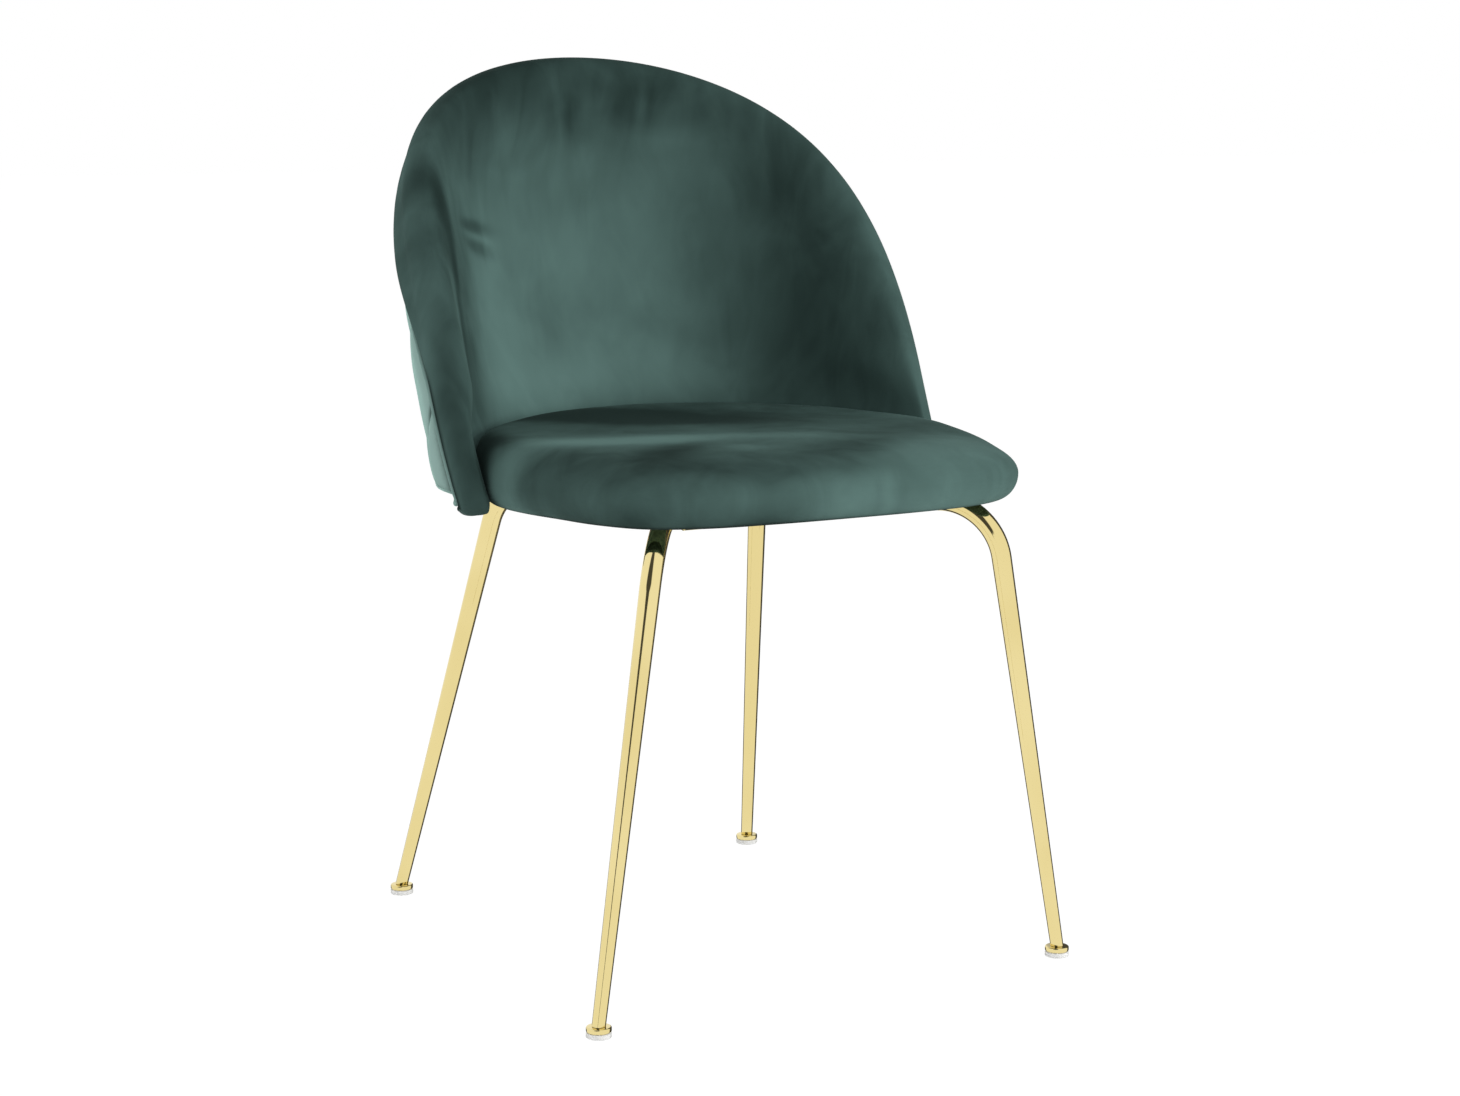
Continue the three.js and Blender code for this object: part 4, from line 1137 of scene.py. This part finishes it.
def closed_curve(knots, count):
    """Evenly spaced places on a smooth closed curve through the knots."""
    knots = np.asarray(knots, float)
    fine = []
    for i in range(len(knots)):
        p = [knots[(i + k) % len(knots)] for k in (-1, 0, 1, 2)]
        t = np.cumsum([0] + [sqrt(np.linalg.norm(p[k + 1] - p[k])) for k in range(3)])
        for s in np.linspace(t[1], t[2], 60, endpoint=False):
            a = [between(p[k], p[k + 1], (s - t[k]) / (t[k + 1] - t[k])) for k in range(3)]
            b = [between(a[k], a[k + 1], (s - t[k]) / (t[k + 2] - t[k])) for k in range(2)]
            fine.append(between(*b, (s - t[1]) / (t[2] - t[1])))
    closed = np.array([*fine, fine[0]])
    run = run_along(np.diff(closed, axis=0))
    return sampled(np.arange(count) * run[-1] / count, run, closed)


depth = seat_back - seat_front
right = [(x * seat_half_width, seat_front + y * depth) for x, y in seat_outline_shares]
left = [(-x, y) for x, y in right[:0:-1]]
seat_places = 360
plan = closed_curve([*right, (0, seat_back), *left], seat_places)
# Marks on the seat, mostly painted light and shade: dark along the rear under the back and in the
# gap at the left rear corner, pale over the crown, at the right end and front right; a few are
# brushed pile.
seat_pile_and_shade_marks = [
    (-0.055, 0.052, 0.17, 0.044, -30, -1.3),
    (0.06, 0.05, 0.14, 0.06, -20, -0.35),
    (-0.21, 0.015, 0.026, 0.06, 0, -1.3),
    (-0.13, -0.09, 0.09, 0.034, -25, 1.35),
    (-0.16, -0.19, 0.05, 0.045, 20, -0.22),
    (-0.11, -0.16, 0.045, 0.022, 25, -0.3),
    (0.02, -0.205, 0.075, 0.024, 12, -0.3),
    (-0.06, -0.185, 0.03, 0.014, -20, 0.25),
    (0.11, -0.225, 0.08, 0.04, 20, 0.75),
    (0.205, -0.12, 0.022, 0.06, 10, 0.2),
    (-0.15, -0.2, 0.05, 0.028, 30, -0.24),
    (-0.105, -0.232, 0.07, 0.016, -24, -0.24),
    (-0.01, -0.262, 0.05, 0.01, 0, 0.35),
    (0.15, -0.12, 0.05, 0.04, 0, -0.05),
    (0.09, -0.14, 0.06, 0.024, 15, -0.25),
    (0, -0.13, 0.09, 0.024, -30, 0.4),
    (-0.205, -0.112, 0.03, 0.05, 0, -0.28),
    (0.214, -0.05, 0.03, 0.045, 0, 0.5),
    (0.03, -0.06, 0.05, 0.022, -20, -0.16),
    (0.09, -0.03, 0.06, 0.03, 15, 0.12),
]


def pitch_at(y):
    return (seat_middle - y) * seat_pitch


def lean_at(y, height):
    return rear_lean * ease(y, -0.06, 0.06) * np.maximum(height - edge_height - pitch_at(y), 0)


def seat_flat(share):
    return np.stack([plan[:, 0] * share, between(seat_middle, plan[:, 1], share)], -1)


def seat_ring(share, height):
    """The seat's outline drawn in to a share of its size, at a height or heights."""
    x, y = seat_flat(share).T
    height = height + np.zeros(seat_places)
    return np.stack([x, centre_y + y + lean_at(y, height), height], -1)


def crown_at(share):
    """Heights of the crown, which is low at the front edge and stands up at the back's."""
    y = seat_flat(share)[:, 1]
    edge_y = seat_middle + (y - seat_middle) / max(share, 1e-6)
    power = between(front_power, rear_power, ease(edge_y, -0.22, -0.01))
    full = np.sqrt(np.maximum(1 - share**power, 0))
    return edge_height + pitch_at(y) + (crown + rear_fill * ease(y, -0.01, 0.11)) * full


def settled(ring, share):
    """A ring of the crown, with the soft hollows of foam that has been sat on."""
    for place in ring:
        soft = noise.noise(Vector((place[0] * 11, place[1] * 11, 5.7)))
        place[2] += (sat_on_waver * soft - sat_on_dip) * (1 - share**6)
    return ring


roll_depth = between(front_roll, rear_roll, ease(plan[:, 1], -0.01, 0.07))
rings = [settled(seat_ring(0, crown_at(0))[:1], 0)]
lie_and_shade_rings = [summed_marks(seat_flat(0)[:1], seat_pile_and_shade_marks)]
for t in np.linspace(0, 1, 66)[1:]:
    share = 1 - (1 - t) ** 1.8
    rings.append(settled(seat_ring(share, crown_at(share)), share))
    lie_and_shade_rings.append(summed_marks(seat_flat(share), seat_pile_and_shade_marks))
edge_level = edge_height + pitch_at(plan[:, 1])
# The roll is painted paler down its front, less so at the front left, with painted shade under its
# lower edge.
front_left = ease(-plan[:, 0], 0.0, 0.12) * ease(-plan[:, 1], 0.12, 0.18)
under_start = 0.86
for angle in np.linspace(0, pi / 2, 14)[1:]:
    share = 1 - (1 - roll_share) * (1 - cos(angle))
    rings.append(seat_ring(share, edge_level - roll_depth * sin(angle)))
    under = max(sin(angle) - under_start, 0) / (1 - under_start)
    shade = (0.25 - 0.45 * front_left) * sin(angle) - 1.1 * under
    lie_and_shade_rings.append(summed_marks(seat_flat(share), seat_pile_and_shade_marks) + shade)
lowest = edge_level - roll_depth
tuck = (np.minimum(lowest, hem_bottom) + hem_bottom) / 2
for t in np.linspace(0, 1, 5)[1:]:
    share = between(roll_share, tuck_share, t)
    rings.append(seat_ring(share, between(lowest, tuck, t**1.5)))
for t in np.linspace(0, 1, 4)[1:]:
    share = between(tuck_share, board_share, t)
    rings.append(seat_ring(share, between(tuck, hem_bottom, t)))
board_edge = board_share + seat_gap / seat_half_width
round_board = [
    (hem_share, hem_bottom),
    (hem_end_share, hem_bottom),
    (hem_end_share, hem_top),
    (board_edge, hem_top + seat_gap / 2),
    (board_edge, board_top + seat_gap),
]
rings += [seat_ring(share, height) for share, height in round_board]
rings.append(seat_ring(0, board_top + seat_gap)[:1])
seat_nodes = ["seat_cover", "seat_foam"]
seat_cushion = piece("seat_cushion", *skin(rings), velvet_cloth, "velvet", seat_nodes, sharp=60)
keep_lie_and_shade(seat_cushion, np.concatenate(lie_and_shade_rings))


# The dust cover: thin black spun cloth, stapled flat under the board, with openings for the
# plates, straps and bolts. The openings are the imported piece's own.
cloth, wire, sockets = shaded("black_spun_cloth", {"Sheen Weight": 0.15, "Sheen Roughness": 0.5})
felt = wire.noise(wire.place(), 900, 4, 1.5)
dots = wire.add("TexVoronoi", {}, {"Vector": wire.place(), "Scale": 620.0})
colour = felt.ease(0.3, 0.7).blend((0.01, 0.01, 0.011), (0.026, 0.026, 0.028))
finished(sockets, colour, 0.82 + felt * 0.12, wire.bump(0.4, 0.0002, felt * 0.6 + dots))

cloth_thickness = 0.0005
cloth_ripple = 0.00022
cover_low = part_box("seat_dust_cover")[0].z
packed = joined_corners("seat_dust_cover", 1e-6)
under = [f for f in packed.faces if f.normal.z < -0.9]
cut_edges = [e for f in under for e in f.edges if sum(g in under for g in e.link_faces) == 1]
used = {v.index: v.co.xy.copy() for e in cut_edges for v in e.verts}
places = {index: i for i, index in enumerate(used)}
cut_points = np.array([tuple(p) for p in used.values()])
cut_pairs = [tuple(places[v.index] for v in e.verts) for e in cut_edges]
packed.free()
spacing = 0.006
low, high = cut_points.min(0), cut_points.max(0)
across, deep = np.meshgrid(*(np.arange(low[k], high[k], spacing) for k in (0, 1)))
grid = np.stack([across.ravel(), deep.ravel()], -1)
starts, ends = cut_points[np.array(cut_pairs).T]
edge_samples = np.concatenate([starts * (1 - t) + ends * t for t in np.linspace(0, 1, 12)])
grid = grid[from_border(grid, edge_samples) > spacing * 0.4]
cover_flat = [Vector(p) for p in np.concatenate([cut_points, grid])]
cover_flat, _, cover_faces, *_ = delaunay_2d_cdt(cover_flat, cut_pairs, [], 2, 1e-7)
kept = sorted({i for face in cover_faces for i in face})
renumbered = {old: new for new, old in enumerate(kept)}
cover_flat = np.array([tuple(cover_flat[i]) for i in kept])
cover_faces = [tuple(renumbered[i] for i in face) for face in cover_faces]
ripple = np.array([1 + noise.noise(Vector((x * 40, y * 40, 1.3))) for x, y in cover_flat])
lower = np.column_stack([cover_flat, cover_low + cloth_ripple * ripple])
upper = lower + [0, 0, cloth_thickness]
sides = dict.fromkeys(
    (a, b) for face in cover_faces for a, b in zip(face, face[1:] + face[:1])
)
count = len(lower)
faces = [face[::-1] for face in cover_faces]
faces += [tuple(count + i for i in face) for face in cover_faces]
faces += [(a, b, count + b, count + a) for a, b in sides if (b, a) not in sides]
points = np.concatenate([lower, upper])
dust_cloth = piece("dust_cloth", points, faces, cloth, "black_cloth", ["seat_dust_cover"])
triangle = np.array([cover_flat[list(face)] for face in cover_faces])
first, second = triangle[:, 1] - triangle[:, 0], triangle[:, 2] - triangle[:, 0]
cloth_area = float(np.abs(first[:, 0] * second[:, 1] - first[:, 1] * second[:, 0]).sum() / 2)
